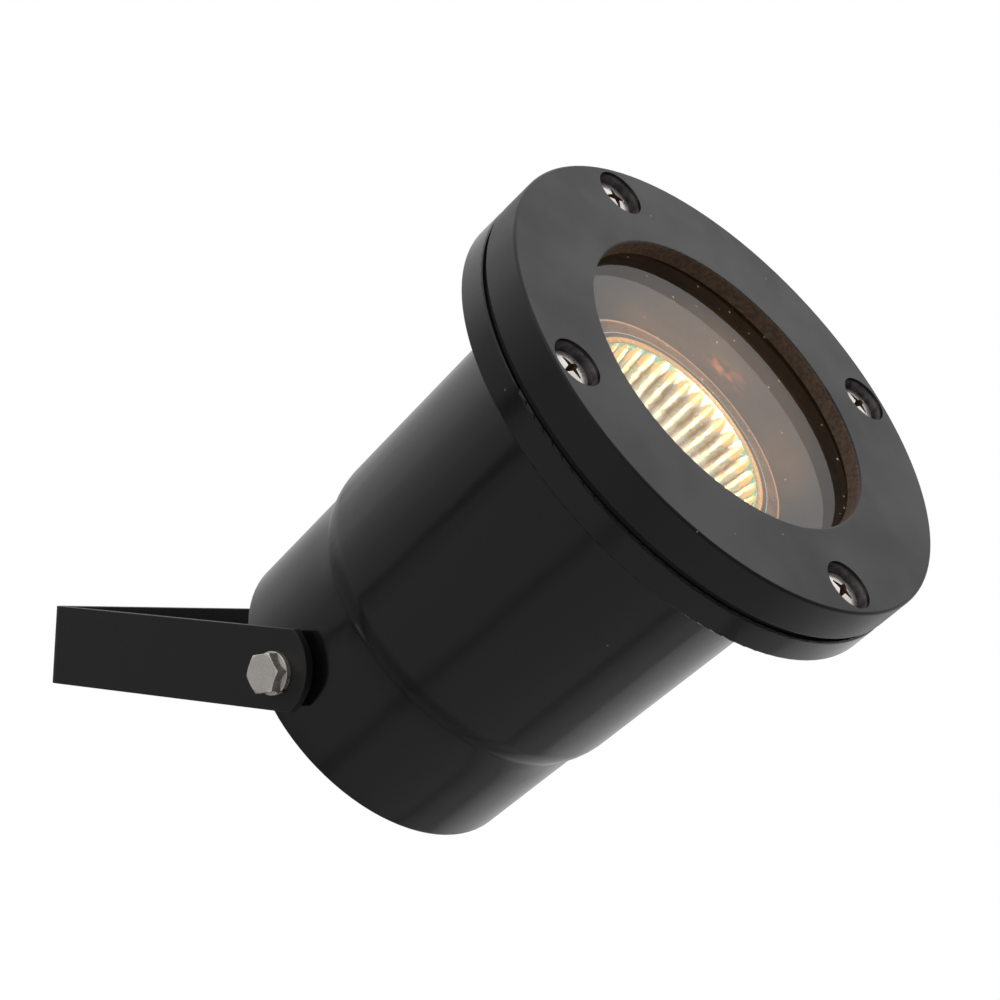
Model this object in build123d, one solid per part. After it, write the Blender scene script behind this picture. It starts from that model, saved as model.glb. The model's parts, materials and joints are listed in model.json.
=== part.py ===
"""Submersible pond light: a round lamp head held between the arms of a U bracket.

Part frame: +X points away from the wall or base that the bracket is screwed to, +Z is up,
and the origin is the centre of the bracket's middle hole on its mounting face.

The head is drawn in a frame of its own: +Z runs forward along the light's axis, the pivot
axis is Y, and Z = 0 is on the pivot. place_head() then tips it to its resting tilt.
All lengths are in millimetres and all angles in degrees.
"""
from build123d import *
import math
import os

# Resting pose
HEAD_TILT = 38.15

# Clearances
THREAD_CLEARANCE = 0.05
RUNNING_CLEARANCE = 0.08
LOOSE_CLEARANCE = 0.25
SEAT_CLEARANCE = 0.2

# Cutting tools: how far a cut runs past the face it opens, and a length that passes through any piece
OVERCUT = 1.0
CUT_THROUGH = 200.0

# Edges are found by radius and height within this distance
EDGE_MATCH = 0.01

# An upright shape that stands on its own origin
STANDING = (Align.CENTER, Align.CENTER, Align.MIN)

# Bracket: a flat strip bent to a U
STRIP_WIDTH = 16.9
STRIP_THICKNESS = 2.0
BEND_INNER_RADIUS = 1.0
PIVOT_REACH = 69.65
PIVOT_DROP = 0.85
ARM_END_RADIUS = 10.35
ARM_END_OVERHANG = 8.7
BASE_HOLE_RADIUS = 3.25
SCREW_HOLE_RADIUS = 2.25
SCREW_HOLE_SPACING = 50.0

# Pivot hardware
PIVOT_FROM_REAR = 8.3
PIVOT_BOLT_RADIUS = 2.5
PIVOT_BOLT_HEX = 7.8
PIVOT_BOLT_HEAD = 2.8
PIVOT_BOLT_TURN = 2.0
PIVOT_BOLT_CROWN_INSET = 0.1
PIVOT_BOLT_CROWN_SLOPE = 0.5
PIVOT_BOLT_GRIP = 6.0
LOCK_WASHER_THICKNESS = 1.2
LOCK_WASHER_RADIUS = 4.5
LOCK_WASHER_SPLIT = 0.9
LOCK_WASHER_SPLIT_LEAN = 30.0
SPACER_THICKNESS = 1.0
SPACER_RADIUS = 6.0
PIVOT_PAD_RADIUS = 6.3
PIVOT_PAD_RISE = 0.57
PIVOT_BOSS_RADIUS = 6.5
PIVOT_BOSS_FLOOR = 2.5
INSERT_WALL = 1.1
PIVOT_INSERT_LENGTH = 8.0

# Housing
FLANGE_THICKNESS = 6.3
FRONT_SECTION_RADIUS = 40.2
FRONT_SECTION_LENGTH = 59.8
FRONT_SECTION_DRAFT = 1.7
SHOULDER_DROP = 1.6
SHOULDER_LENGTH = 6.0
SHOULDER_STEEPNESS = 4.0
REAR_SECTION_LENGTH = 29.0
REAR_SECTION_DRAFT = 1.7
REAR_EDGE_ROUND = 1.0
FLANGE_ROOT_ROUND = 1.5
FLANGE_EDGE_ROUND = 0.5
WALL = 3.1
REAR_WALL = 4.0

# Clamp ring, lens and gaskets
RING_THICKNESS = 8.7
LIP_THICKNESS = 3.5
LIP_OVERLAP = 5.0
RING_EDGE_ROUND = 0.6
LENS_BEARING = 2.9
LENS_THICKNESS = 4.0
LENS_EDGE_BEVEL = 0.3
FRONT_GASKET_THICKNESS = 0.3
FRONT_GASKET_SETBACK = 1.0
LENS_GASKET_WALL = 1.2
FLANGE_GASKET_THICKNESS = 1.05
FLANGE_GASKET_SETBACK = 1.0

# Ring screws
RING_SCREW_COUNT = 4
RING_SCREW_RADIUS = 2.5
RING_SCREW_HEAD_RADIUS = 4.6
RING_SCREW_HEAD_HEIGHT = 3.2
RING_SCREW_HEAD_DOME = 0.8
RING_SCREW_HEAD_ROUND = 0.7
RING_SCREW_TIP_GAP = 0.5
COUNTERBORE_RADIUS = 5.5
COUNTERBORE_DEPTH = 4.6
COUNTERBORE_INNER_WALL = 1.4
COUNTERBORE_OUTER_WALL = 1.2
RING_INSERT_LENGTH = 5.4
CROSS_WIDTH = 0.95
CROSS_SPAN = 5.6
CROSS_DEPTH = 1.9
CROSS_TURNS = (34.0, 19.0, 83.0, 20.0)

# Reflector lamp, 50 mm class, with two pins
LAMP_SETBACK = 18.5
LAMP_RIM_WALL = 1.7
LAMP_RIM_THICKNESS = 2.4
REFLECTOR_MOUTH_RADIUS = 22.5
REFLECTOR_DEPTH = 27.0
REFLECTOR_CUT_DEPTH = 23.4
REFLECTOR_WALL = 1.8
BOWL_STEPS = 7
FLUTE_COUNT = 40
FLUTE_BULGE = 0.5
NECK_RADIUS = 9.0
NECK_BORE_RADIUS = 5.6
NECK_LENGTH = 4.0
LAMP_BASE_LONG = 15.0
LAMP_BASE_SHORT = 9.6
LAMP_BASE_LENGTH = 10.0
LAMP_BASE_CORNER = 1.5
COVER_GLASS_LEDGE = 0.6
COVER_GLASS_THICKNESS = 1.1
PIN_RADIUS = 0.75
PIN_SPACING = 5.33
PIN_LENGTH = 7.0
PIN_GRIP = 4.0
CAPSULE_RADIUS = 4.6
CAPSULE_LENGTH = 17.0
CAPSULE_WALL = 1.15
FILAMENT_RADIUS = 0.8
FILAMENT_LENGTH = 4.2
FILAMENT_LEG_RADIUS = 0.25

# Lamp seat ring, cradle and socket
SEAT_RING_WALL = 2.7
SEAT_RING_HEIGHT = 6.0
SEAT_LEDGE_THICKNESS = 1.4
CRADLE_THICKNESS = 1.0
CRADLE_WIDTH = 12.0
CRADLE_BEND_RADIUS = 1.5
SOCKET_LONG = 17.0
SOCKET_SHORT = 10.4
SOCKET_HEIGHT = 14.0
SOCKET_CORNER = 2.0
CONTACT_WALL = 0.6
CONTACT_LENGTH = 8.0
SOCKET_SCREW_RADIUS = 1.25
SOCKET_SCREW_GAP = 0.4
SOCKET_SCREW_DEPTH = 5.0
SOCKET_SCREW_HEAD_RADIUS = 2.2
CRADLE_SCREW_HEAD_RADIUS = 2.8
SMALL_HEAD_HEIGHT = 1.6
POST_OFFSET = 20.0
POST_RADIUS = 4.0
CRADLE_SCREW_RADIUS = 1.5
CRADLE_SCREW_DEPTH = 9.0
SMALL_SCREW_TIP_GAP = 1.0

# Leads
LEAD_RADIUS = 1.1
LEAD_BEND_RADIUS = 6.0
LEAD_BEND_ANGLE = 43.0
SPLICE_RADIUS = 2.0
SPLICE_LENGTH = 11.0
SPLICE_GRIP = 3.0
SPLICE_GAP = 2.0

# Cable gland in the rear wall
GLAND_THREAD_RADIUS = 6.0
GLAND_HEX = 15.0
GLAND_HEX_HEIGHT = 3.5
GLAND_WASHER_THICKNESS = 1.0
GLAND_WASHER_RADIUS = 8.2
GLAND_STUB_INSIDE = 5.0
GLAND_NUT_HEIGHT = 3.6
GLAND_NECK_RADIUS = 6.2
GLAND_NECK_LENGTH = 5.0
GLAND_CAP_WALL = 1.35
GLAND_CAP_HEIGHT = 8.6
GLAND_CAP_ROUND = 2.6
GLAND_CAP_FLAT_DEPTH = 0.38
GLAND_SEAL_RADIUS = 5.0
GLAND_SEAL_LENGTH = 6.0
GLAND_SEAL_SINK = 1.0
CABLE_BORE_RADIUS = 3.0
CABLE_WAY_RADIUS = 3.6

# Heights along the light's axis, from the pivot
rear_z = -PIVOT_FROM_REAR
rear_wall_z = rear_z + REAR_WALL
shoulder_end_z = rear_z + REAR_SECTION_LENGTH
shoulder_z = shoulder_end_z + SHOULDER_LENGTH
flange_back_z = shoulder_z + FRONT_SECTION_LENGTH
flange_front_z = flange_back_z + FLANGE_THICKNESS
ring_back_z = flange_front_z + FLANGE_GASKET_THICKNESS
face_z = ring_back_z + RING_THICKNESS
lip_back_z = face_z - LIP_THICKNESS
lens_front_z = lip_back_z - FRONT_GASKET_THICKNESS
lens_back_z = lens_front_z - LENS_THICKNESS
screw_seat_z = face_z - COUNTERBORE_DEPTH
lamp_front_z = face_z - LAMP_SETBACK
lamp_rim_back_z = lamp_front_z - LAMP_RIM_THICKNESS
cover_back_z = lamp_front_z - COVER_GLASS_THICKNESS
neck_top_z = cover_back_z - REFLECTOR_CUT_DEPTH
neck_end_z = neck_top_z - NECK_LENGTH
lamp_base_end_z = neck_end_z - LAMP_BASE_LENGTH
socket_back_z = lamp_base_end_z - SOCKET_HEIGHT
cradle_under_z = socket_back_z - CRADLE_THICKNESS
seat_ring_back_z = lamp_front_z - SEAT_RING_HEIGHT
capsule_top_z = neck_top_z + CAPSULE_LENGTH
gland_stub_top_z = rear_wall_z + GLAND_STUB_INSIDE
splice_low_z = gland_stub_top_z + SPLICE_GAP
splice_top_z = splice_low_z + SPLICE_LENGTH
lead_end_z = splice_top_z - SPLICE_GRIP
gland_washer_z = rear_z - GLAND_WASHER_THICKNESS
gland_hex_z = gland_washer_z - GLAND_HEX_HEIGHT
gland_neck_z = gland_hex_z - GLAND_NECK_LENGTH
gland_cap_z = gland_hex_z - GLAND_CAP_HEIGHT
gland_seal_top_z = gland_hex_z + GLAND_SEAL_SINK
gland_seal_low_z = gland_seal_top_z - GLAND_SEAL_LENGTH

# Radii that follow from the sizes above
front_end_radius = FRONT_SECTION_RADIUS - FRONT_SECTION_LENGTH * math.tan(math.radians(FRONT_SECTION_DRAFT))
rear_start_radius = front_end_radius - SHOULDER_DROP
rear_slope = math.tan(math.radians(REAR_SECTION_DRAFT))
rear_end_radius = rear_start_radius - REAR_SECTION_LENGTH * rear_slope
pivot_side_radius = rear_end_radius + PIVOT_FROM_REAR * rear_slope
bore_radius = FRONT_SECTION_RADIUS - WALL
lens_radius = bore_radius + LENS_BEARING
opening_radius = lens_radius - LIP_OVERLAP
lens_gasket_radius = lens_radius + LENS_GASKET_WALL
rebate_radius = lens_gasket_radius + SEAT_CLEARANCE
ring_screw_circle = rebate_radius + COUNTERBORE_INNER_WALL + COUNTERBORE_RADIUS
flange_radius = ring_screw_circle + COUNTERBORE_RADIUS + COUNTERBORE_OUTER_WALL
pivot_insert_radius = PIVOT_BOLT_RADIUS + INSERT_WALL
ring_insert_radius = RING_SCREW_RADIUS + INSERT_WALL
cover_glass_radius = REFLECTOR_MOUTH_RADIUS + FLUTE_BULGE + COVER_GLASS_LEDGE
lamp_rim_radius = cover_glass_radius + LAMP_RIM_WALL
seat_ring_inner_radius = lamp_rim_radius + SEAT_CLEARANCE
seat_ring_outer_radius = seat_ring_inner_radius + SEAT_RING_WALL
contact_radius = PIN_RADIUS + THREAD_CLEARANCE + CONTACT_WALL
gland_cap_radius = GLAND_NECK_RADIUS + THREAD_CLEARANCE + GLAND_CAP_WALL

# Distance of the socket's screws from the light's axis, each head clear of its lead
socket_screw_offset = PIN_SPACING / 2 + LEAD_RADIUS + SOCKET_SCREW_GAP + SOCKET_SCREW_HEAD_RADIUS

# Places along the pivot axis, outward from the light's axis
pad_y = pivot_side_radius + PIVOT_PAD_RISE
arm_inner_y = pad_y + SPACER_THICKNESS
arm_outer_y = arm_inner_y + STRIP_THICKNESS
bolt_seat_y = arm_outer_y + LOCK_WASHER_THICKNESS


def place_head(shape):
    """Tip a shape from the head's own frame to its resting place in the part."""
    return Pos(PIVOT_REACH, 0, -PIVOT_DROP) * Rot(0, 90 - HEAD_TILT, 0) * shape


def turned(outline):
    """Revolve a closed outline of (radius, height) lines about the light's axis."""
    return revolve(make_face(outline), Axis.Z)


def section_polygon(*points):
    """Closed outline through (radius, height) points in the turning plane."""
    return [Polyline(*[(r, 0, z) for r, z in points], close=True)]


def ring_solid(inner, outer, low, high):
    """Plain washer or tube between two radii and two heights."""
    return turned(section_polygon((inner, low), (outer, low), (outer, high), (inner, high)))


def disc(radius, low, high):
    """Plain upright cylinder between two heights."""
    return Pos(0, 0, low) * Cylinder(radius, high - low, align=STANDING)


def along_pivot(shape, side):
    """Stand an upright shape on the pivot axis, its +Z turned outward on the given side."""
    return Rot(-90 * side, 0, 0) * shape


def rims(shape, radius, height):
    """Circular edges of a turned shape at one radius and one height."""
    return shape.edges().filter_by(GeomType.CIRCLE).filter_by(
        lambda e: abs(e.radius - radius) < EDGE_MATCH and abs(e.center().Z - height) < EDGE_MATCH
    )


def on_screw_circle(shape):
    """Copies of a shape at the ring screws' places, two of them in line with the pivot."""
    step = 360 / RING_SCREW_COUNT
    return [Rot(0, 0, k * step) * Pos(ring_screw_circle, 0, 0) * shape for k in range(RING_SCREW_COUNT)]


def hexagon(across_flats, low, high):
    """Hexagonal prism given its size across the flats."""
    face = Pos(0, 0, low) * RegularPolygon(across_flats / 2, 6, major_radius=False)
    return extrude(face, high - low)


def bent_strip(centre_line, thickness, width):
    """Strip of even thickness and width along a flat centre line."""
    outline = offset(centre_line, thickness / 2, kind=Kind.INTERSECTION, side=Side.BOTH)
    return extrude(make_face(outline.edges()), width / 2, both=True)


def make_bracket():
    """U bracket: a strip bent once at each side, its arm ends rounded, its pivot holes below mid-width."""
    half = arm_outer_y - STRIP_THICKNESS / 2
    reach = PIVOT_REACH + ARM_END_OVERHANG
    path = Polyline((reach, -half), (STRIP_THICKNESS / 2, -half), (STRIP_THICKNESS / 2, half), (reach, half))
    bend = BEND_INNER_RADIUS + STRIP_THICKNESS / 2
    path = fillet(path.vertices().sort_by(Axis.X)[:2], bend)
    body = bent_strip(path, STRIP_THICKNESS, STRIP_WIDTH)

    end_centre_x = reach - ARM_END_RADIUS
    keep_low = Box(end_centre_x, CUT_THROUGH, CUT_THROUGH, align=(Align.MIN, Align.CENTER, Align.CENTER))
    keep_end = Pos(end_centre_x, 0, 0) * Rot(90, 0, 0) * Cylinder(ARM_END_RADIUS, CUT_THROUGH)
    body = body & (keep_low + keep_end)

    pivot_hole = Rot(90, 0, 0) * Cylinder(PIVOT_BOLT_RADIUS + RUNNING_CLEARANCE, CUT_THROUGH)
    body -= Pos(PIVOT_REACH, 0, -PIVOT_DROP) * pivot_hole
    body -= Rot(0, 90, 0) * Cylinder(BASE_HOLE_RADIUS, 2 * STRIP_THICKNESS + OVERCUT)
    for side in (-1, 1):
        hole = Rot(0, 90, 0) * Cylinder(SCREW_HOLE_RADIUS, 2 * STRIP_THICKNESS + OVERCUT)
        body -= Pos(0, side * SCREW_HOLE_SPACING / 2, 0) * hole
    return body


def housing_shell():
    """Moulded barrel and flange as one turned shell, open at the front."""
    shoulder = TangentArc(
        (front_end_radius, 0, shoulder_z),
        (rear_start_radius, 0, shoulder_end_z),
        tangent=(rear_start_radius - front_end_radius, 0, -SHOULDER_LENGTH * SHOULDER_STEEPNESS),
    )
    front_inner_end = front_end_radius - WALL
    rear_inner_start = rear_start_radius - WALL
    rear_inner_end = rear_end_radius - WALL
    outer_rear = Polyline(
        (0, 0, rear_z),
        (rear_end_radius, 0, rear_z),
        (rear_start_radius, 0, shoulder_end_z),
    )
    outer_front = Polyline(
        (front_end_radius, 0, shoulder_z),
        (FRONT_SECTION_RADIUS, 0, flange_back_z),
        (flange_radius, 0, flange_back_z),
        (flange_radius, 0, flange_front_z),
        (bore_radius, 0, flange_front_z),
        (bore_radius, 0, flange_back_z),
        (front_inner_end, 0, shoulder_z),
        (rear_inner_start, 0, shoulder_end_z),
        (rear_inner_end, 0, rear_wall_z),
        (0, 0, rear_wall_z),
        (0, 0, rear_z),
    )
    shell = revolve(make_face([outer_rear, shoulder, outer_front]), Axis.Z)

    shell = fillet(rims(shell, rear_end_radius, rear_z), REAR_EDGE_ROUND)
    shell = fillet(rims(shell, FRONT_SECTION_RADIUS, flange_back_z), FLANGE_ROOT_ROUND)
    flange_rims = rims(shell, flange_radius, flange_back_z) + rims(shell, flange_radius, flange_front_z)
    return fillet(flange_rims, FLANGE_EDGE_ROUND)


def make_housing():
    """Shell with its pivot bosses, cradle posts, insert pockets and the gland's hole."""
    body = housing_shell()
    insert_floor_y = pad_y - PIVOT_INSERT_LENGTH
    boss_end_y = insert_floor_y - PIVOT_BOSS_FLOOR
    for side in (-1, 1):
        boss = disc(PIVOT_BOSS_RADIUS, boss_end_y, rear_end_radius - WALL / 2)
        pad = disc(PIVOT_PAD_RADIUS, rear_end_radius - WALL, pad_y)
        pocket = disc(pivot_insert_radius, insert_floor_y, pad_y + WALL)
        body += along_pivot(boss + pad, side)
        body -= along_pivot(pocket, side)
        post = disc(POST_RADIUS, rear_wall_z - REAR_WALL / 2, cradle_under_z)
        post_hole = disc(CRADLE_SCREW_RADIUS, cradle_under_z - CRADLE_SCREW_DEPTH, cradle_under_z + OVERCUT)
        body += Pos(side * POST_OFFSET, 0, 0) * post
        body -= Pos(side * POST_OFFSET, 0, 0) * post_hole
    for pocket in on_screw_circle(disc(ring_insert_radius, flange_front_z - RING_INSERT_LENGTH, face_z)):
        body -= pocket
    body -= disc(GLAND_THREAD_RADIUS + THREAD_CLEARANCE, rear_z - OVERCUT, rear_wall_z + OVERCUT)
    return body


def make_clamp_ring():
    """Front ring with a bore lip over the lens, a rebate behind it and four counterbores."""
    body = turned(section_polygon(
        (opening_radius, face_z),
        (flange_radius, face_z),
        (flange_radius, ring_back_z),
        (rebate_radius, ring_back_z),
        (rebate_radius, lip_back_z),
        (opening_radius, lip_back_z),
    ))
    front_rims = rims(body, opening_radius, face_z) + rims(body, flange_radius, face_z)
    body = fillet(front_rims + rims(body, flange_radius, ring_back_z), RING_EDGE_ROUND)
    for cut in on_screw_circle(disc(COUNTERBORE_RADIUS, screw_seat_z, face_z + OVERCUT)):
        body -= cut
    for cut in on_screw_circle(disc(RING_SCREW_RADIUS + LOOSE_CLEARANCE, ring_back_z - OVERCUT, face_z)):
        body -= cut
    return body


def make_lens():
    """Flat round glass with bevelled edges."""
    body = disc(lens_radius, lens_back_z, lens_front_z)
    return chamfer(body.edges().filter_by(GeomType.CIRCLE), LENS_EDGE_BEVEL)


def make_lens_gasket():
    """Moulded seal of L section: one leg under the lens, one round its edge."""
    inner = bore_radius + SEAT_CLEARANCE
    return turned(section_polygon(
        (inner, flange_front_z),
        (lens_gasket_radius, flange_front_z),
        (lens_gasket_radius, lens_front_z),
        (lens_radius + THREAD_CLEARANCE, lens_front_z),
        (lens_radius + THREAD_CLEARANCE, lens_back_z),
        (inner, lens_back_z),
    ))


def make_front_gasket():
    """Thin washer between the lens and the ring's lip, set back from the opening."""
    return ring_solid(opening_radius + FRONT_GASKET_SETBACK, lens_radius, lens_front_z, lip_back_z)


def make_flange_gasket():
    """Flat seal between ring and flange, set back from the rim so that a dark groove shows."""
    body = ring_solid(rebate_radius, flange_radius - FLANGE_GASKET_SETBACK, flange_front_z, ring_back_z)
    for cut in on_screw_circle(disc(ring_insert_radius, flange_front_z - OVERCUT, ring_back_z + OVERCUT)):
        body -= cut
    return body


def cross_recess(top_z):
    """Cross slot of a screw head, its arms running shallower outward."""
    arm = Pos(0, 0, top_z) * Box(CROSS_SPAN, CROSS_WIDTH, 2 * CROSS_DEPTH)
    taper = Cone(CROSS_WIDTH / 2, CROSS_SPAN / 2, CROSS_DEPTH, align=STANDING)
    taper = Pos(0, 0, top_z - CROSS_DEPTH) * taper
    return (arm + Rot(0, 0, 90) * arm) & taper


def make_ring_screws():
    """Four pan head screws with a domed top and a cross recess."""
    top_z = screw_seat_z + RING_SCREW_HEAD_HEIGHT
    side_z = top_z - RING_SCREW_HEAD_DOME
    shank_end_z = flange_front_z - RING_INSERT_LENGTH + RING_SCREW_TIP_GAP
    stem = Polyline(
        (0, 0, top_z),
        (0, 0, shank_end_z),
        (RING_SCREW_RADIUS, 0, shank_end_z),
        (RING_SCREW_RADIUS, 0, screw_seat_z),
        (RING_SCREW_HEAD_RADIUS, 0, screw_seat_z),
        (RING_SCREW_HEAD_RADIUS, 0, side_z),
    )
    crown = TangentArc((0, 0, top_z), (RING_SCREW_HEAD_RADIUS, 0, side_z), tangent=(1, 0, 0))
    blank = turned([stem, crown])
    blank = fillet(rims(blank, RING_SCREW_HEAD_RADIUS, side_z), RING_SCREW_HEAD_ROUND)
    step = 360 / RING_SCREW_COUNT
    screws = []
    for k in range(RING_SCREW_COUNT):
        screw = blank - Rot(0, 0, CROSS_TURNS[k % len(CROSS_TURNS)]) * cross_recess(top_z)
        screws.append(Rot(0, 0, k * step) * Pos(ring_screw_circle, 0, 0) * screw)
    return screws


def make_ring_inserts():
    """Brass threaded inserts in the flange, one under each ring screw."""
    low = flange_front_z - RING_INSERT_LENGTH
    return on_screw_circle(ring_solid(RING_SCREW_RADIUS + THREAD_CLEARANCE,
                                      ring_insert_radius - THREAD_CLEARANCE, low, flange_front_z))


def bowl_radius(depth):
    """Radius of the reflector's elliptical bowl at a depth below its mouth."""
    return REFLECTOR_MOUTH_RADIUS * math.sqrt(1 - (depth / REFLECTOR_DEPTH) ** 2)


def fluted_face(depth):
    """Bowl section at one depth: a ring of short arcs, each bulging out as one flute."""
    radius = bowl_radius(depth)
    bulge = FLUTE_BULGE * radius / REFLECTOR_MOUTH_RADIUS
    step = 2 * math.pi / FLUTE_COUNT
    height = cover_back_z - depth
    arcs = []
    for k in range(FLUTE_COUNT):
        corner_a, middle, corner_b = k * step, (k + 0.5) * step, (k + 1) * step
        arcs.append(ThreePointArc(
            (radius * math.cos(corner_a), radius * math.sin(corner_a), height),
            ((radius + bulge) * math.cos(middle), (radius + bulge) * math.sin(middle), height),
            (radius * math.cos(corner_b), radius * math.sin(corner_b), height),
        ))
    return make_face(arcs)


def make_lamp_reflector():
    """Pressed glass reflector: rim, elliptical bowl with radial flutes, and a neck."""
    depths = [REFLECTOR_CUT_DEPTH * k / BOWL_STEPS for k in range(BOWL_STEPS + 1)]
    wall_points = [(bowl_radius(d) + REFLECTOR_WALL, 0, cover_back_z - d) for d in depths]
    neck_line = Polyline((0, 0, neck_end_z), (NECK_RADIUS, 0, neck_end_z), wall_points[-1])
    bowl_line = Spline(*reversed(wall_points))
    mouth_corner = (wall_points[0][0], 0, lamp_front_z)
    rim_line = Polyline(wall_points[0], mouth_corner, (0, 0, lamp_front_z), (0, 0, neck_end_z))
    body = turned([neck_line, bowl_line, rim_line])
    body += disc(lamp_rim_radius, lamp_rim_back_z, lamp_front_z)
    body -= loft([fluted_face(d) for d in depths], ruled=True)
    body -= disc(cover_glass_radius + THREAD_CLEARANCE, cover_back_z, lamp_front_z + OVERCUT)
    body -= disc(NECK_BORE_RADIUS, neck_end_z - OVERCUT, neck_top_z + OVERCUT)
    return body


def make_lamp_cover_glass():
    """Thin front glass of the lamp, set in its rim."""
    return disc(cover_glass_radius, cover_back_z, lamp_front_z)


def rounded_block(long_side, short_side, corner, low, high):
    """Upright block with rounded corners, its long side across the pivot axis."""
    face = Pos(0, 0, low) * RectangleRounded(long_side, short_side, corner)
    return extrude(face, high - low)


def make_lamp_base():
    """Ceramic foot of the lamp with a plug that fills the reflector's neck."""
    body = rounded_block(LAMP_BASE_LONG, LAMP_BASE_SHORT, LAMP_BASE_CORNER, lamp_base_end_z, neck_end_z)
    body += disc(NECK_BORE_RADIUS - THREAD_CLEARANCE, neck_end_z, neck_top_z)
    for side in (-1, 1):
        pin_hole = disc(PIN_RADIUS, lamp_base_end_z - OVERCUT, lamp_base_end_z + PIN_GRIP)
        body -= Pos(side * PIN_SPACING / 2, 0, 0) * pin_hole
    return body


def make_lamp_pins():
    """Two contact pins set into the lamp's foot."""
    pin = disc(PIN_RADIUS - THREAD_CLEARANCE / 2, lamp_base_end_z - PIN_LENGTH, lamp_base_end_z + PIN_GRIP)
    return [Pos(side * PIN_SPACING / 2, 0, 0) * pin for side in (-1, 1)]


def round_topped(radius, low_z, top_z):
    """Upright rod between two heights with a ball for its top end."""
    return disc(radius, low_z, top_z - radius) + Pos(0, 0, top_z - radius) * Sphere(radius)


def make_lamp_capsule():
    """Quartz capsule, hollow, standing on the lamp's foot inside the reflector."""
    outside = round_topped(CAPSULE_RADIUS, neck_top_z, capsule_top_z)
    hollow_radius = CAPSULE_RADIUS - CAPSULE_WALL
    inside = round_topped(hollow_radius, neck_top_z + CAPSULE_WALL, capsule_top_z - CAPSULE_WALL)
    return outside - inside


def make_lamp_filament():
    """Filament coil across the capsule with its two legs."""
    foot_z = neck_top_z + CAPSULE_WALL
    coil_z = foot_z + CAPSULE_LENGTH / 2
    body = Pos(0, 0, coil_z) * Rot(0, 90, 0) * Cylinder(FILAMENT_RADIUS, FILAMENT_LENGTH)
    for side in (-1, 1):
        leg_x = side * (FILAMENT_LENGTH / 2 - FILAMENT_LEG_RADIUS)
        body += Pos(leg_x, 0, 0) * disc(FILAMENT_LEG_RADIUS, foot_z, coil_z)
    return body


def make_seat_ring():
    """Ring that centres the lamp's rim and carries it on an inner ledge."""
    ledge_inner = REFLECTOR_MOUTH_RADIUS + REFLECTOR_WALL + SEAT_CLEARANCE
    ledge_low = lamp_rim_back_z - SEAT_LEDGE_THICKNESS
    return turned(section_polygon(
        (seat_ring_inner_radius, lamp_front_z),
        (seat_ring_outer_radius, lamp_front_z),
        (seat_ring_outer_radius, seat_ring_back_z),
        (seat_ring_inner_radius, seat_ring_back_z),
        (seat_ring_inner_radius, ledge_low),
        (ledge_inner, ledge_low),
        (ledge_inner, lamp_rim_back_z),
        (seat_ring_inner_radius, lamp_rim_back_z),
    ))


def make_lamp_cradle():
    """Bent strap under the socket: its floor is screwed to the posts, its legs carry the seat ring."""
    leg_x = (seat_ring_inner_radius + seat_ring_outer_radius) / 2
    floor_z = socket_back_z - CRADLE_THICKNESS / 2
    path = Polyline(
        (-leg_x, 0, seat_ring_back_z),
        (-leg_x, 0, floor_z),
        (leg_x, 0, floor_z),
        (leg_x, 0, seat_ring_back_z),
    )
    path = fillet(path.vertices().sort_by(Axis.Z)[:2], CRADLE_BEND_RADIUS)
    body = bent_strip(path, CRADLE_THICKNESS, CRADLE_WIDTH)
    body -= disc(seat_ring_outer_radius + CRADLE_WIDTH, seat_ring_back_z, lamp_front_z)
    cuts = [(POST_OFFSET, CRADLE_SCREW_RADIUS + LOOSE_CLEARANCE),
            (socket_screw_offset, SOCKET_SCREW_RADIUS + THREAD_CLEARANCE),
            (PIN_SPACING / 2, LEAD_RADIUS + THREAD_CLEARANCE)]
    for x, radius in cuts:
        for side in (-1, 1):
            body -= Pos(side * x, 0, 0) * disc(radius, cradle_under_z - OVERCUT, socket_back_z + OVERCUT)
    return body


def make_lamp_socket():
    """Ceramic two-pin socket with contact chambers and lead holes."""
    body = rounded_block(SOCKET_LONG, SOCKET_SHORT, SOCKET_CORNER, socket_back_z, lamp_base_end_z)
    chamber_low = lamp_base_end_z - CONTACT_LENGTH
    for side in (-1, 1):
        chamber = disc(contact_radius + THREAD_CLEARANCE, chamber_low, lamp_base_end_z + OVERCUT)
        lead_way = disc(LEAD_RADIUS + THREAD_CLEARANCE, socket_back_z - OVERCUT, chamber_low + OVERCUT)
        body -= Pos(side * PIN_SPACING / 2, 0, 0) * (chamber + lead_way)
        screw_hole = disc(SOCKET_SCREW_RADIUS, socket_back_z - OVERCUT, socket_back_z + SOCKET_SCREW_DEPTH)
        body -= Pos(side * socket_screw_offset, 0, 0) * screw_hole
    return body


def make_socket_contacts():
    """Spring tubes that grip the lamp's pins."""
    low = lamp_base_end_z - CONTACT_LENGTH
    tube = ring_solid(PIN_RADIUS + THREAD_CLEARANCE, contact_radius, low, lamp_base_end_z)
    return [Pos(side * PIN_SPACING / 2, 0, 0) * tube for side in (-1, 1)]


def small_screw(shank_radius, head_radius, seat_z, tip_z):
    """Small cheese head screw; its head lies on the side away from the tip."""
    up = 1 if tip_z < seat_z else -1
    head_z = seat_z + up * SMALL_HEAD_HEIGHT
    head = disc(head_radius, min(seat_z, head_z), max(seat_z, head_z))
    shank = disc(shank_radius - THREAD_CLEARANCE, min(seat_z, tip_z), max(seat_z, tip_z))
    return head + shank


def make_cradle_screws():
    """Screws that hold the cradle's floor on the housing's posts."""
    tip_z = cradle_under_z - CRADLE_SCREW_DEPTH + SMALL_SCREW_TIP_GAP
    screw = small_screw(CRADLE_SCREW_RADIUS, CRADLE_SCREW_HEAD_RADIUS, socket_back_z, tip_z)
    return [Pos(side * POST_OFFSET, 0, 0) * screw for side in (-1, 1)]


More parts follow.
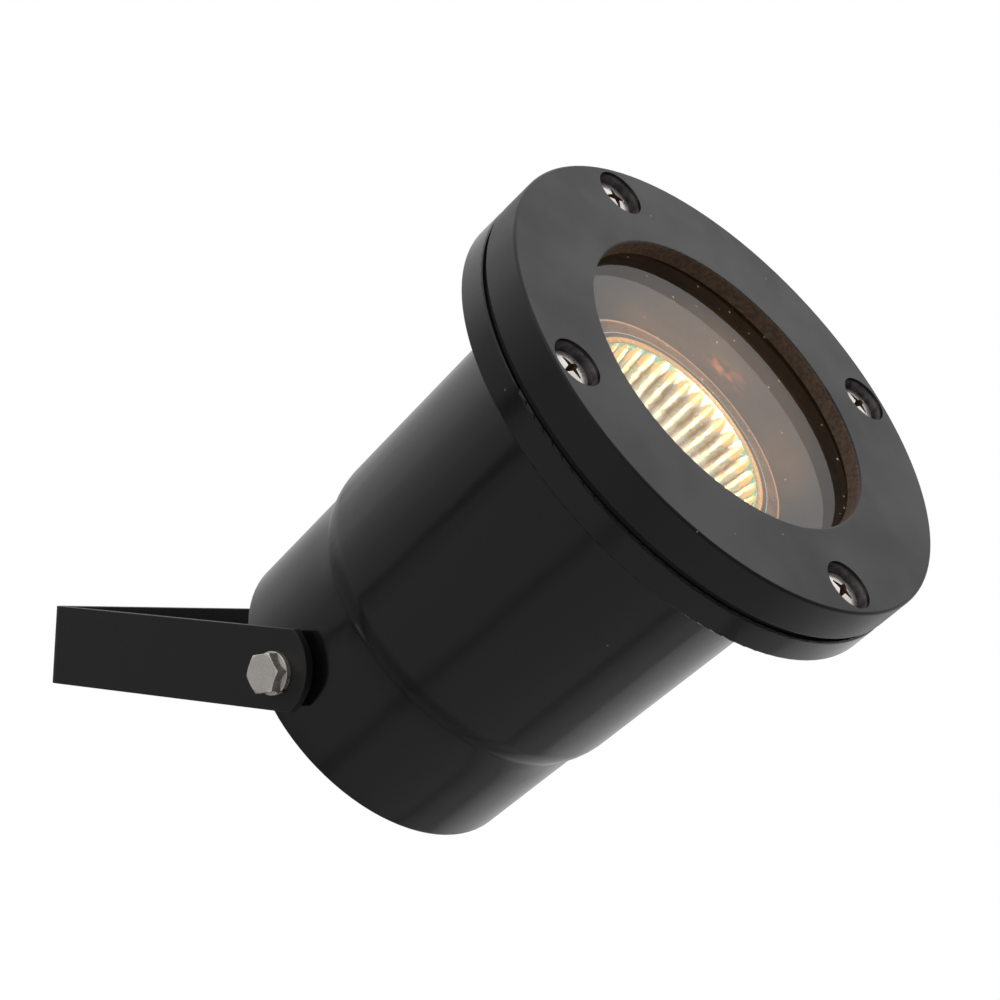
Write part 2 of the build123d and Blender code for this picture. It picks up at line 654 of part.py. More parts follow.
def make_socket_screws():
    """Screws that hold the socket on the cradle's floor, put in from behind."""
    tip_z = socket_back_z + SOCKET_SCREW_DEPTH - SMALL_SCREW_TIP_GAP
    screw = small_screw(SOCKET_SCREW_RADIUS, SOCKET_SCREW_HEAD_RADIUS, cradle_under_z, tip_z)
    return [Pos(side * socket_screw_offset, 0, 0) * screw for side in (-1, 1)]


def lead_points():
    """Offset of the splice, and the heights where the lead's two bends begin and end.

    The bends lie midway between the cradle and the lead's end in its splice.
    """
    angle = math.radians(LEAD_BEND_ANGLE)
    side_step = 2 * LEAD_BEND_RADIUS * (1 - math.cos(angle))
    drop = 2 * LEAD_BEND_RADIUS * math.sin(angle)
    middle_z = (cradle_under_z + lead_end_z) / 2
    return PIN_SPACING / 2 + side_step, middle_z + drop / 2, middle_z - drop / 2


def make_lead(side):
    """One lead: straight out of the socket, a gentle S, and straight into its splice."""
    splice_x, bend_top_z, bend_low_z = lead_points()
    start_x = PIN_SPACING / 2
    mid_x = (start_x + splice_x) / 2
    mid_z = (bend_top_z + bend_low_z) / 2
    top = (side * start_x, 0, lamp_base_end_z - CONTACT_LENGTH)
    a = (side * start_x, 0, bend_top_z)
    b = (side * mid_x, 0, mid_z)
    c = (side * splice_x, 0, bend_low_z)
    end = (side * splice_x, 0, lead_end_z)
    first = TangentArc(a, b, tangent=(0, 0, -1))
    second = TangentArc(c, b, tangent=(0, 0, 1))
    path = Wire([*Line(top, a).edges(), *first.edges(), *second.edges(), *Line(c, end).edges()])
    profile = Plane(origin=top, z_dir=(0, 0, -1)) * Circle(LEAD_RADIUS)
    return sweep(profile, path=path)


def make_leads():
    """Two insulated leads between the socket and the splices."""
    return [make_lead(side) for side in (-1, 1)]


def make_splices():
    """Two crimp splices, one on each lead, open toward the gland."""
    splice_x = lead_points()[0]
    body = disc(SPLICE_RADIUS, splice_low_z, splice_top_z)
    body -= disc(LEAD_RADIUS + THREAD_CLEARANCE, lead_end_z, splice_top_z + OVERCUT)
    body -= disc(LEAD_RADIUS + THREAD_CLEARANCE, splice_low_z - OVERCUT, splice_low_z + SPLICE_GRIP)
    return [Pos(side * splice_x, 0, 0) * body for side in (-1, 1)]


def make_pivot_inserts():
    """Brass threaded inserts for the pivot bolts, blind so that the barrel stays tight."""
    tube = ring_solid(PIVOT_BOLT_RADIUS + THREAD_CLEARANCE, pivot_insert_radius - THREAD_CLEARANCE,
                      pad_y - PIVOT_INSERT_LENGTH, pad_y)
    return [along_pivot(tube, side) for side in (-1, 1)]


def make_pivot_spacers():
    """Friction washers between the housing's pads and the bracket's arms."""
    washer = ring_solid(PIVOT_BOLT_RADIUS + THREAD_CLEARANCE, SPACER_RADIUS, pad_y, arm_inner_y)
    return [along_pivot(washer, side) for side in (-1, 1)]


def make_pivot_lock_washers():
    """Split spring washers under the bolt heads."""
    washer = ring_solid(PIVOT_BOLT_RADIUS + THREAD_CLEARANCE, LOCK_WASHER_RADIUS, arm_outer_y, bolt_seat_y)
    mid_y = (arm_outer_y + bolt_seat_y) / 2
    split = Box(2 * LOCK_WASHER_RADIUS, LOCK_WASHER_SPLIT, 4 * LOCK_WASHER_THICKNESS)
    split = Pos(LOCK_WASHER_RADIUS, 0, mid_y) * Rot(LOCK_WASHER_SPLIT_LEAN, 0, 0) * split
    return [along_pivot(washer - split, side) for side in (-1, 1)]


def make_pivot_bolts():
    """Hexagon head bolts, the head's corners turned off as on a pressed bolt."""
    head_top = bolt_seat_y + PIVOT_BOLT_HEAD
    tip = pad_y - PIVOT_BOLT_GRIP
    corner = PIVOT_BOLT_HEX / math.sqrt(3)
    crown_z = head_top - (corner - PIVOT_BOLT_HEX / 2) * PIVOT_BOLT_CROWN_SLOPE
    head = Rot(0, 0, PIVOT_BOLT_TURN) * hexagon(PIVOT_BOLT_HEX, bolt_seat_y, head_top)
    head &= turned(section_polygon(
        (0, bolt_seat_y),
        (corner, bolt_seat_y),
        (corner, crown_z),
        (PIVOT_BOLT_HEX / 2 - PIVOT_BOLT_CROWN_INSET, head_top),
        (0, head_top),
    ))
    bolt = head + disc(PIVOT_BOLT_RADIUS, tip, bolt_seat_y)
    return [along_pivot(bolt, side) for side in (-1, 1)]


def make_gland_washer():
    """Sealing washer between the gland's collar and the rear wall."""
    return ring_solid(GLAND_THREAD_RADIUS + THREAD_CLEARANCE, GLAND_WASHER_RADIUS, gland_washer_z, rear_z)


def make_gland_body():
    """Gland body: threaded stub through the wall, hexagon collar and a neck for the cap."""
    body = hexagon(GLAND_HEX, gland_hex_z, gland_washer_z)
    body += disc(GLAND_THREAD_RADIUS, gland_washer_z, gland_stub_top_z)
    body += disc(GLAND_NECK_RADIUS, gland_neck_z, gland_hex_z)
    body -= disc(CABLE_WAY_RADIUS, gland_neck_z - OVERCUT, gland_stub_top_z + OVERCUT)
    body -= disc(GLAND_SEAL_RADIUS + THREAD_CLEARANCE, gland_neck_z - OVERCUT, gland_seal_top_z)
    return body


def make_gland_locknut():
    """Hexagon nut that holds the gland from inside the barrel."""
    top_z = rear_wall_z + GLAND_NUT_HEIGHT
    nut = hexagon(GLAND_HEX, rear_wall_z, top_z)
    return nut - disc(GLAND_THREAD_RADIUS + THREAD_CLEARANCE, rear_wall_z - OVERCUT, top_z + OVERCUT)


def make_gland_seal():
    """Rubber bush that grips the cable."""
    return ring_solid(CABLE_BORE_RADIUS, GLAND_SEAL_RADIUS, gland_seal_low_z, gland_seal_top_z)


def make_gland_cap():
    """Domed cap nut that squeezes the seal; flats are cut round its skirt for a spanner."""
    flats = 2 * (gland_cap_radius - GLAND_CAP_FLAT_DEPTH)
    body = disc(gland_cap_radius, gland_cap_z, gland_hex_z - THREAD_CLEARANCE)
    low_rim = body.edges().filter_by(GeomType.CIRCLE).group_by(Axis.Z)[0]
    body = fillet(low_rim, GLAND_CAP_ROUND)
    body &= hexagon(flats, gland_cap_z - OVERCUT, gland_hex_z)
    body -= disc(GLAND_NECK_RADIUS + THREAD_CLEARANCE, gland_neck_z - THREAD_CLEARANCE, gland_hex_z + OVERCUT)
    body -= disc(GLAND_SEAL_RADIUS + THREAD_CLEARANCE, gland_seal_low_z, gland_hex_z)
    body -= disc(CABLE_WAY_RADIUS, gland_cap_z - OVERCUT, gland_hex_z)
    return body


HEAD_PARTS = {
    "housing": make_housing,
    "clamp_ring": make_clamp_ring,
    "glass_lens": make_lens,
    "lens_gasket": make_lens_gasket,
    "front_gasket": make_front_gasket,
    "flange_gasket": make_flange_gasket,
    "ring_screws": make_ring_screws,
    "ring_inserts": make_ring_inserts,
    "lamp_reflector": make_lamp_reflector,
    "lamp_cover_glass": make_lamp_cover_glass,
    "lamp_capsule": make_lamp_capsule,
    "lamp_filament": make_lamp_filament,
    "lamp_base": make_lamp_base,
    "lamp_pins": make_lamp_pins,
    "lamp_seat_ring": make_seat_ring,
    "lamp_cradle": make_lamp_cradle,
    "cradle_screws": make_cradle_screws,
    "lamp_socket": make_lamp_socket,
    "socket_contacts": make_socket_contacts,
    "socket_screws": make_socket_screws,
    "lead_wires": make_leads,
    "wire_splices": make_splices,
    "gland_body": make_gland_body,
    "gland_washer": make_gland_washer,
    "gland_locknut": make_gland_locknut,
    "gland_seal": make_gland_seal,
    "gland_cap": make_gland_cap,
    "pivot_inserts": make_pivot_inserts,
    "pivot_spacers": make_pivot_spacers,
    "pivot_lock_washers": make_pivot_lock_washers,
    "pivot_bolts": make_pivot_bolts,
}


def as_solids(made):
    """One compound of separate solids from a shape or a list of shapes."""
    shapes = made if isinstance(made, list) else [made]
    return Compound([solid for shape in shapes for solid in shape.solids()])


def write_parts():
    """Write one file per named piece, the head's pieces tipped to the resting tilt."""
    os.makedirs("parts", exist_ok=True)
    export_step(as_solids(make_bracket()), "parts/bracket.step")
    for name, make in HEAD_PARTS.items():
        placed = [place_head(solid) for solid in as_solids(make()).solids()]
        export_step(as_solids(placed), f"parts/{name}.step")


write_parts()
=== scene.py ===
import json
import math

import bmesh
import bpy
from bpy.props import FloatProperty, FloatVectorProperty, IntProperty, PointerProperty
from bpy.types import NodeSocket, Operator, Panel, PropertyGroup
from mathutils import Matrix, Quaternion, Vector


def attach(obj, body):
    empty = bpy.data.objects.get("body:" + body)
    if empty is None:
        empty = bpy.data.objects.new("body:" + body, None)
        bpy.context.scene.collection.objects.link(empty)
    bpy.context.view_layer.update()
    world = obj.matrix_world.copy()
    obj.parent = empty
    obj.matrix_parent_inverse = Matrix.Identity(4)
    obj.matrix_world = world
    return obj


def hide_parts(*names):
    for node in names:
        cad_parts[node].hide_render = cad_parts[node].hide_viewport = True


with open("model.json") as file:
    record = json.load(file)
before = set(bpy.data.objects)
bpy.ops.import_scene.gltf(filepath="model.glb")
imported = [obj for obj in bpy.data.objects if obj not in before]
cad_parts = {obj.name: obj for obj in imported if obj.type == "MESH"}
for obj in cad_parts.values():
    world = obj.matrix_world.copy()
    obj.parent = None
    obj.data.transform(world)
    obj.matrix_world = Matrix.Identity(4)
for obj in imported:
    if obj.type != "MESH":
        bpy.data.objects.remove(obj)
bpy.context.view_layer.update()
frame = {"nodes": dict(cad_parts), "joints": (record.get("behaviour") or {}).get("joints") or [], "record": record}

bl_info = {
    "name": "Submersible Pond Light",
    "version": (1, 0, 0),
    "blender": (4, 5, 0),
    "location": "View3D > Sidebar > Pond Light",
    "description": "Dresses the packed pond light in its finished pieces and finishes",
    "category": "Object",
}

MM = 0.001

HEAD = "lamp_head"
BRACKET = "mount_bracket"

# The head's own frame: +Z along the light's axis, with the pivot at its origin
PIVOT = Vector(frame["joints"][0]["pos_m"])
CABLE_ENTRY = next(m for m in frame["record"]["mounts"] if m["name"] == "cable_entry")
HEAD_TURN = math.atan2(-CABLE_ENTRY["axis"][0], -CABLE_ENTRY["axis"][2])
HEAD_TO_ROW = Matrix.Translation(PIVOT) @ Matrix.Rotation(HEAD_TURN, 4, "Y")
ROW_TO_HEAD = HEAD_TO_ROW.inverted()

# How far each ring screw's cross slot is turned, in degrees
CROSS_TURNS = (34.0, 19.0, 83.0, 20.0)

# How near points are merged, how little a bend is dissolved, and from where a crease is sharp
MERGE_DISTANCE = 1e-6
FLAT_ANGLE = math.radians(0.2)
CREASE_ANGLE = math.radians(28)


def head_extent(node):
    """Greatest distance from the light's axis, and lowest and highest place along it, of a head node."""
    points = [ROW_TO_HEAD @ vertex.co for vertex in frame["nodes"][node].data.vertices]
    heights = [point.z for point in points]
    return max(math.hypot(point.x, point.y) for point in points), min(heights), max(heights)


FACE = head_extent("clamp_ring")[2]
LENS_RADIUS, LENS_BACK, LENS_FRONT = head_extent("glass_lens")
COVER_RADIUS, COVER_BACK, LAMP_FRONT = head_extent("lamp_cover_glass")
RIM_RADIUS, NECK_END, _ = head_extent("lamp_reflector")
_, CAPSULE_FOOT, CAPSULE_TOP = head_extent("lamp_capsule")
SEAT_RING_RADIUS = head_extent("lamp_seat_ring")[0]
SCREW_REACH, SCREW_END, SCREW_TOP = head_extent("ring_screws")

# Where the housing's inner wall lies: radii between its inner and outer faces, behind and before
# the shoulder, the shoulder's two ends, and a place within the thickness of its rear wall
REAR_SKIN, FRONT_SKIN = 34.8 * MM, 37.7 * MM
SHOULDER_REAR, SHOULDER_FRONT = 20.7 * MM, 26.7 * MM
REAR_WALL_MIDDLE = -6.0 * MM

# Where the front ring changes its finish: the radii over which its bore's painted warm lamp light begins, the
# reach of a screw well, with its painted reflection, from the screw's axis, and the depths of the well's painted
# shaded lip behind the ring's face
BORE_SKIN, BEHIND_BORE = 35.05 * MM, 35.3 * MM
WELL_RADIUS = 5.6 * MM
WELL_MOUTH, LIP_FRONT, LIP_BACK = 0.1 * MM, 0.5 * MM, 0.9 * MM

# How far from a ring screw's axis, and how far below its head's top, the painted shade and grime of its slot lie
SLOT_REACH, SLOT_BOTTOM = 3.0 * MM, 2.6 * MM
SLOT_SHADE_START, SLOT_SHADE_FULL = 0.03 * MM, 0.16 * MM

# Where the reflector's mouth ends and its glowing ledge begins, its painted highlight line within the rim,
# and the length over which a flute rises to its full depth
LEDGE_START, LEDGE_FULL = 22.55 * MM, 22.8 * MM
HIGHLIGHT_INSET = 0.45 * MM
FLUTE_RISE = 1.1 * MM

# Angle round the axis at which the painted reflection of the filament lights the bowl most, in radians
FILAMENT_REFLECTION_ANGLE = 2.0

# The radii over which the painted glow of the lens's dust film fades, and the middle and reach of its painted red
# glint of lamp light
FILM_GLOW_FULL, FILM_GLOW_END = 22.0 * MM, 31.0 * MM
GLINT_PLACE = (-7.5 * MM, 10.5 * MM)
GLINT_CORE, GLINT_END = 1.0 * MM, 7.0 * MM


# Sizes and colours that a user would change

def length(name, description, default):
    """A length in metres."""
    return FloatProperty(name=name, description=description, default=default, min=0.0,
                         unit="LENGTH", precision=5)


def amount(name, description, default, high=1.0):
    """A plain number from nothing up to a limit."""
    return FloatProperty(name=name, description=description, default=default, min=0.0, max=high)


def position(name, description, default):
    """A place in metres."""
    return FloatVectorProperty(name=name, description=description, default=default,
                               subtype="TRANSLATION", size=3)


def colour(name, description, default):
    """A colour without alpha."""
    return FloatVectorProperty(name=name, description=description, default=default, subtype="COLOR",
                               size=3, min=0.0, max=1.0)


class PondLightSizes(PropertyGroup):
    """Sizes of the pieces that the frame leaves open."""

    mouth_radius: length("Mouth radius", "Reflector bowl's radius at its mouth", 22.5 * MM)
    bowl_depth: length("Bowl depth", "Depth of the whole ellipse that the bowl is part of", 27.0 * MM)
    bowl_cut: length("Bowl cut", "Depth at which the neck cuts the bowl off", 23.4 * MM)
    bowl_wall: length("Bowl wall", "Thickness of the pressed glass", 1.8 * MM)
    rim_thickness: length("Rim thickness", "Thickness of the reflector's rim", 2.4 * MM)
    neck_radius: length("Neck radius", "Outer radius of the reflector's neck", 9.0 * MM)
    neck_bore: length("Neck bore", "Inner radius of the reflector's neck", 5.6 * MM)
    flute_count: IntProperty(name="Flutes", description="Flutes round the bowl", default=40, min=3)
    flute_depth: length("Flute depth", "How far each flute bulges out at the mouth", 0.5 * MM)
    bolt_edge: length("Bolt edge", "Rounding of the bolt heads' edges", 0.12 * MM)
    strip_edge: length("Strip edge", "Rounding of the bracket's cut edges", 0.22 * MM)
    screw_head_radius: length("Screw head radius", "Radius of a ring screw's head", 4.6 * MM)
    screw_head_height: length("Screw head height", "Height of a ring screw's head", 3.2 * MM)
    screw_head_dome: length("Screw head dome", "How far the head's top is domed", 0.8 * MM)
    screw_head_round: length("Screw head rounding", "Rounding of the head's rim", 0.7 * MM)
    screw_radius: length("Screw radius", "Radius of a ring screw's shank", 2.5 * MM)
    cross_reach: length("Cross reach", "Length of the cross slot's arms", 2.75 * MM)
    cross_tip: length("Cross tip", "Half width of the cross slot's arms at their ends", 0.26 * MM)
    cross_waist: length("Cross waist", "Distance of the cross slot's inner corners from its middle", 1.0 * MM)
    cross_depth: length("Cross depth", "Depth of the cross slot", 2.3 * MM)
    coil_turns: IntProperty(name="Filament turns", description="Turns of the lamp's filament",
                            default=11, min=1)
    coil_radius: length("Filament radius", "Outer radius of the filament's coil", 0.8 * MM)
    coil_length: length("Filament length", "Length of the filament's coil", 4.2 * MM)
    wire_radius: length("Filament wire", "Radius of the filament's wire", 0.14 * MM)


class PondLightColours(PropertyGroup):
    """Colours of the finishes."""

    black_plastic: colour("Black plastic", "Moulded barrel and ring", (0.0048, 0.0048, 0.0047))
    bracket_black: colour("Bracket black", "Powder coat of the bracket", (0.0080, 0.0081, 0.0080))
    rubber: colour("Rubber", "Gaskets and seals", (0.0045, 0.0045, 0.0045))
    stainless: colour("Stainless", "Bolts and screws", (0.97, 0.92, 0.87))
    brass: colour("Brass", "Threaded inserts", (0.62, 0.42, 0.17))
    lamp_cream: colour("Lamp cream", "Coating of the lit bowl", (0.78, 0.82, 0.68))
    lamp_cyan: colour("Lamp cyan", "Fringe of the coating at the bowl's mouth", (0.34, 0.70, 0.66))
    lamp_gold: colour("Lamp gold", "Glow of the bowl's rim", (0.86, 0.50, 0.20))
    glow: colour("Glow", "Light of the filament", (1.0, 0.93, 0.74))
    ceramic: colour("Ceramic", "Lamp foot and socket", (0.74, 0.71, 0.64))


class PondLightStage(PropertyGroup):
    """Camera and studio."""

    camera_place: position("Camera place", "Where the camera stands, from the pivot",
                           (0.39337, -0.44092, 0.03475))
    camera_aim: position("Camera aim", "Where the camera looks, from the pivot",
                         (0.00783, 0.01881, 0.038))
    camera_roll: FloatProperty(name="Camera roll", description="Turn of the camera about its view",
                               default=math.radians(3.27), subtype="ANGLE")
    focal_length: FloatProperty(name="Focal length", description="Camera lens in millimetres", default=99.18)
    floor_drop: length("Floor drop", "Height of the pivot over the floor", 0.30)
    key_power: amount("Key light", "Power of the lamp above, in watts", 2.3, 100.0)
    fill_power: amount("Fill light", "Power of the lamp at the side, in watts", 0.8, 100.0)


def sizes():
    """The scene's sizes."""
    return bpy.context.scene.pond_light_sizes


def colours():
    """The scene's colours."""
    return bpy.context.scene.pond_light_colours


def opaque(rgb):
    """A colour with full alpha for a node's socket."""
    return (*rgb, 1.0)


# Node building

def feed(tree, socket, value):
    """Links an output to an input socket, or sets the input to a plain value."""
    if isinstance(value, NodeSocket):
        tree.links.new(value, socket)
    else:
        socket.default_value = value


def add_node(tree, kind, inputs=(), **settings):
    """Adds a node, sets its options, and fills or links the inputs that are given by name or number."""
    node = tree.nodes.new(kind)
    for option, value in settings.items():
        setattr(node, option, value)
    for key, value in dict(inputs).items():
        feed(tree, node.inputs[key], value)
    return node


def calc(tree, operation, *values, clamp=False):
    """Result of a math node."""
    node = add_node(tree, "ShaderNodeMath", dict(enumerate(values)), operation=operation, use_clamp=clamp)
    return node.outputs[0]


def product(tree, first, *others):
    """Product of two or more values."""
    for other in others:
        first = calc(tree, "MULTIPLY", first, other)
    return first


def vector_calc(tree, operation, *values):
    """Result of a vector math node: a number for a length or dot product, else a vector."""
    node = add_node(tree, "ShaderNodeVectorMath", dict(enumerate(values)), operation=operation)
    return node.outputs["Value" if operation in {"DOT_PRODUCT", "LENGTH", "DISTANCE"} else "Vector"]


def remap(tree, value, low, high, to_low=0.0, to_high=1.0):
    """Value carried from one range to another, eased in and out and held at its ends."""
    inputs = {"Value": value, "From Min": low, "From Max": high, "To Min": to_low, "To Max": to_high}
    node = add_node(tree, "ShaderNodeMapRange", inputs, interpolation_type="SMOOTHSTEP")
    return node.outputs["Result"]


def band(tree, value, centre, width, soft):
    """Mask that is 1 within half a width of a centre and falls to 0 over a soft edge."""
    distance = calc(tree, "ABSOLUTE", calc(tree, "SUBTRACT", value, centre))
    return remap(tree, distance, width / 2, width / 2 + soft, 1.0, 0.0)


def blend(tree, factor, first, second):
    """Colour between two colours."""
    return add_node(tree, "ShaderNodeMix", {0: factor, 6: first, 7: second}, data_type="RGBA").outputs[2]


def noise(tree, vector, scale, detail=3.0, roughness=0.5):
    """Value of a noise pattern, scale in waves to the metre."""
    settings = {"Vector": vector, "Scale": scale, "Detail": detail, "Roughness": roughness}
    return add_node(tree, "ShaderNodeTexNoise", settings).outputs["Fac"]


SOCKETS = {float: "NodeSocketFloat", int: "NodeSocketInt", tuple: "NodeSocketVector"}


def new_group(name, kind, inputs, outputs):
    """A node group with named sockets. Inputs are name: default, outputs are name: socket type."""
    tree = bpy.data.node_groups.new(name, kind)
    for label, default in inputs.items():
        socket_type = default if isinstance(default, str) else SOCKETS[type(default)]
        socket = tree.interface.new_socket(label, in_out="INPUT", socket_type=socket_type)
        if not isinstance(default, str):
            socket.default_value = default
    for label, socket_type in outputs.items():
        tree.interface.new_socket(label, in_out="OUTPUT", socket_type=socket_type)
    return tree, tree.nodes.new("NodeGroupInput").outputs, tree.nodes.new("NodeGroupOutput").inputs


def build_light_axis(name):
    """Place in the head's frame: along the light's axis, out from it, and the angle round it."""
    outputs = {"Place": "NodeSocketVector", "Along": "NodeSocketFloat", "Radius": "NodeSocketFloat",
               "Angle": "NodeSocketFloat"}
    tree, given, result = new_group(name, "ShaderNodeTree", {"Vector": (0.0, 0.0, 0.0)}, outputs)
    settings = {"Vector": given["Vector"], "Location": PIVOT, "Rotation": (0.0, HEAD_TURN, 0.0)}
    place = add_node(tree, "ShaderNodeMapping", settings, vector_type="TEXTURE").outputs["Vector"]
    parts = add_node(tree, "ShaderNodeSeparateXYZ", {0: place}).outputs
    flat = add_node(tree, "ShaderNodeCombineXYZ", {0: parts["X"], 1: parts["Y"]}).outputs[0]
    tree.links.new(place, result["Place"])
    tree.links.new(parts["Z"], result["Along"])
    tree.links.new(vector_calc(tree, "LENGTH", flat), result["Radius"])
    tree.links.new(calc(tree, "ARCTAN2", parts["Y"], parts["X"]), result["Angle"])
    return tree


def build_moulded_grain(name):
    """Fine grain of a moulded or coated surface, with a slow change across it."""
    inputs = {"Vector": (0.0, 0.0, 0.0), "Grain Scale": 4000.0, "Flow Scale": 40.0}
    outputs = {"Height": "NodeSocketFloat", "Mottle": "NodeSocketFloat"}
    tree, given, result = new_group(name, "ShaderNodeTree", inputs, outputs)
    tree.links.new(noise(tree, given["Vector"], given["Grain Scale"], 2.0, 0.6), result["Height"])
    tree.links.new(noise(tree, given["Vector"], given["Flow Scale"], 4.0, 0.55), result["Mottle"])
    return tree


def build_settled_dust(name):
    """Mask of scattered specks, small spots of which only a share show."""
    inputs = {"Vector": (0.0, 0.0, 0.0), "Specks": 220.0, "Size": 0.08, "Share": 0.2}
    tree, given, result = new_group(name, "ShaderNodeTree", inputs, {"Mask": "NodeSocketFloat"})
    cells = add_node(tree, "ShaderNodeTexVoronoi", {"Vector": given["Vector"], "Scale": given["Specks"]})
    chance = add_node(tree, "ShaderNodeSeparateColor", {0: cells.outputs["Color"]}).outputs
    reach = calc(tree, "MULTIPLY", given["Size"], chance["Green"])
    near = calc(tree, "LESS_THAN", cells.outputs["Distance"], reach)
    shown = calc(tree, "LESS_THAN", chance["Red"], given["Share"])
    tree.links.new(product(tree, near, shown), result["Mask"])
    return tree


def build_nearest_screw(name):
    """Distance from the axis of the nearest of the screws that stand round the light's axis."""
    inputs = {"Radius": 0.0, "Angle": 0.0, "Circle": 45.0 * MM, "Count": 4.0}
    tree, given, result = new_group(name, "ShaderNodeTree", inputs, {"Distance": "NodeSocketFloat"})
    off = calc(tree, "PINGPONG", given["Angle"], calc(tree, "DIVIDE", math.pi, given["Count"]))
    x = calc(tree, "SUBTRACT", product(tree, given["Radius"], calc(tree, "COSINE", off)), given["Circle"])
    y = product(tree, given["Radius"], calc(tree, "SINE", off))
    flat = add_node(tree, "ShaderNodeCombineXYZ", {0: x, 1: y}).outputs[0]
    tree.links.new(vector_calc(tree, "LENGTH", flat), result["Distance"])
    return tree


def build_hollow_shade_and_dirt(name):
    """Mask of the hollows and corners that ambient occlusion finds, for painted shade and grime, broken up by
    noise.
    """
    inputs = {"Vector": (0.0, 0.0, 0.0), "Reach": 1.5 * MM, "Breakup Scale": 900.0}
    tree, given, result = new_group(name, "ShaderNodeTree", inputs, {"Mask": "NodeSocketFloat"})
    clear = add_node(tree, "ShaderNodeAmbientOcclusion", {"Distance": given["Reach"]}, samples=8)
    hollow = remap(tree, clear.outputs["AO"], 0.25, 0.72, 1.0, 0.0)
    patches = remap(tree, noise(tree, given["Vector"], given["Breakup Scale"], 3.0), 0.3, 0.7, 0.7, 1.0)
    tree.links.new(product(tree, hollow, patches), result["Mask"])
    return tree


def build_worn_edge(name):
    """Mask of the outer edges, where a surface is rubbed, broken up by noise."""
    inputs = {"Vector": (0.0, 0.0, 0.0), "Width": 0.4 * MM, "Breakup Scale": 500.0}
    tree, given, result = new_group(name, "ShaderNodeTree", inputs, {"Mask": "NodeSocketFloat"})
    rounded = add_node(tree, "ShaderNodeBevel", {"Radius": given["Width"]}, samples=4).outputs["Normal"]
    facing = add_node(tree, "ShaderNodeNewGeometry").outputs["Normal"]
    turn = calc(tree, "SUBTRACT", 1.0, vector_calc(tree, "DOT_PRODUCT", rounded, facing))
    edge = remap(tree, turn, 0.02, 0.16)
    patches = remap(tree, noise(tree, given["Vector"], given["Breakup Scale"], 4.0), 0.35, 0.6)
    tree.links.new(product(tree, edge, patches), result["Mask"])
    return tree


def build_drawn_lines(name):
    """Fine lines of a turned or brushed metal, drawn out along one axis."""
    inputs = {"Vector": (0.0, 0.0, 0.0), "Stretch": (60.0, 3000.0, 3000.0)}
    outputs = {"Height": "NodeSocketFloat", "Streak": "NodeSocketFloat"}
    tree, given, result = new_group(name, "ShaderNodeTree", inputs, outputs)
    drawn = vector_calc(tree, "MULTIPLY", given["Vector"], given["Stretch"])
    tree.links.new(noise(tree, drawn, 1.0, 3.0, 0.6), result["Height"])
    tree.links.new(noise(tree, drawn, 0.23, 4.0, 0.6), result["Streak"])
    return tree


GROUP_BUILDERS = {
    "Light Axis": build_light_axis,
    "Moulded Grain": build_moulded_grain,
    "Settled Dust": build_settled_dust,
    "Nearest Screw": build_nearest_screw,
    "Hollow Shade And Dirt": build_hollow_shade_and_dirt,
    "Worn Edge": build_worn_edge,
    "Drawn Lines": build_drawn_lines,
}


def effect(tree, name, inputs):
    """Outputs of a shared shader group, built on first use, in a material with its own values."""
    group = bpy.data.node_groups.get(name) or GROUP_BUILDERS[name](name)
    return add_node(tree, "ShaderNodeGroup", inputs, node_tree=group).outputs


# Finishes

# What the finishes mix into their colours: dirt, dust, wear, and painted lamp light, shade, highlight, reflection
# and glow
NO_LIGHT = (0.0, 0.0, 0.0, 1.0)
PALE_DUST = (0.22, 0.20, 0.18, 1.0)
LAMPLIT_BROWN = (0.15, 0.098, 0.066, 1.0)
WELL_PAINTED_REFLECTION = (0.19, 0.17, 0.18, 1.0)
WELL_SHADE = (0.006, 0.006, 0.006, 1.0)
WORN_COAT = (0.06, 0.058, 0.055, 1.0)
SLOT_SHADE_AND_DIRT = (0.085, 0.036, 0.017, 1.0)
WIRE_GREY = (0.5, 0.46, 0.4, 1.0)
WIRE_ORANGE = (1.0, 0.62, 0.26, 1.0)
WIRE_YELLOW = (1.0, 0.80, 0.50, 1.0)
SEAT_LAMPLIT_BROWN = (0.30, 0.17, 0.085, 1.0)
SEAT_LAMPLIT_GOLD = (0.55, 0.36, 0.20, 1.0)
SEAT_GLOW = (1.0, 0.55, 0.32, 1.0)
FLUTE_SIDE_SHADE = (0.54, 0.51, 0.37, 1.0)
FLUTE_CREASE_SHADE = (0.26, 0.15, 0.06, 1.0)
RIM_GREY = (0.30, 0.27, 0.23, 1.0)
RIM_HIGHLIGHT = (1.0, 0.97, 0.90, 1.0)
FILAMENT_REFLECTION_WHITE = (1.0, 0.96, 0.84, 1.0)
THIN_FILM_GLOW = (0.020, 0.010, 0.003, 1.0)
THICK_FILM_GLOW = (0.050, 0.024, 0.008, 1.0)
OUTER_FILM_GLOW = (0.001, 0.001, 0.001, 1.0)
GLINT_RED = (0.50, 0.13, 0.035, 1.0)
LIT_DUST = (0.62, 0.46, 0.32, 1.0)
CAPSULE_DIM = (0.08, 0.05, 0.02, 1.0)


def title(name):
    """A finish's name in words, which keeps it apart from the frame's own plain materials."""
    return name.replace("_", " ").title()


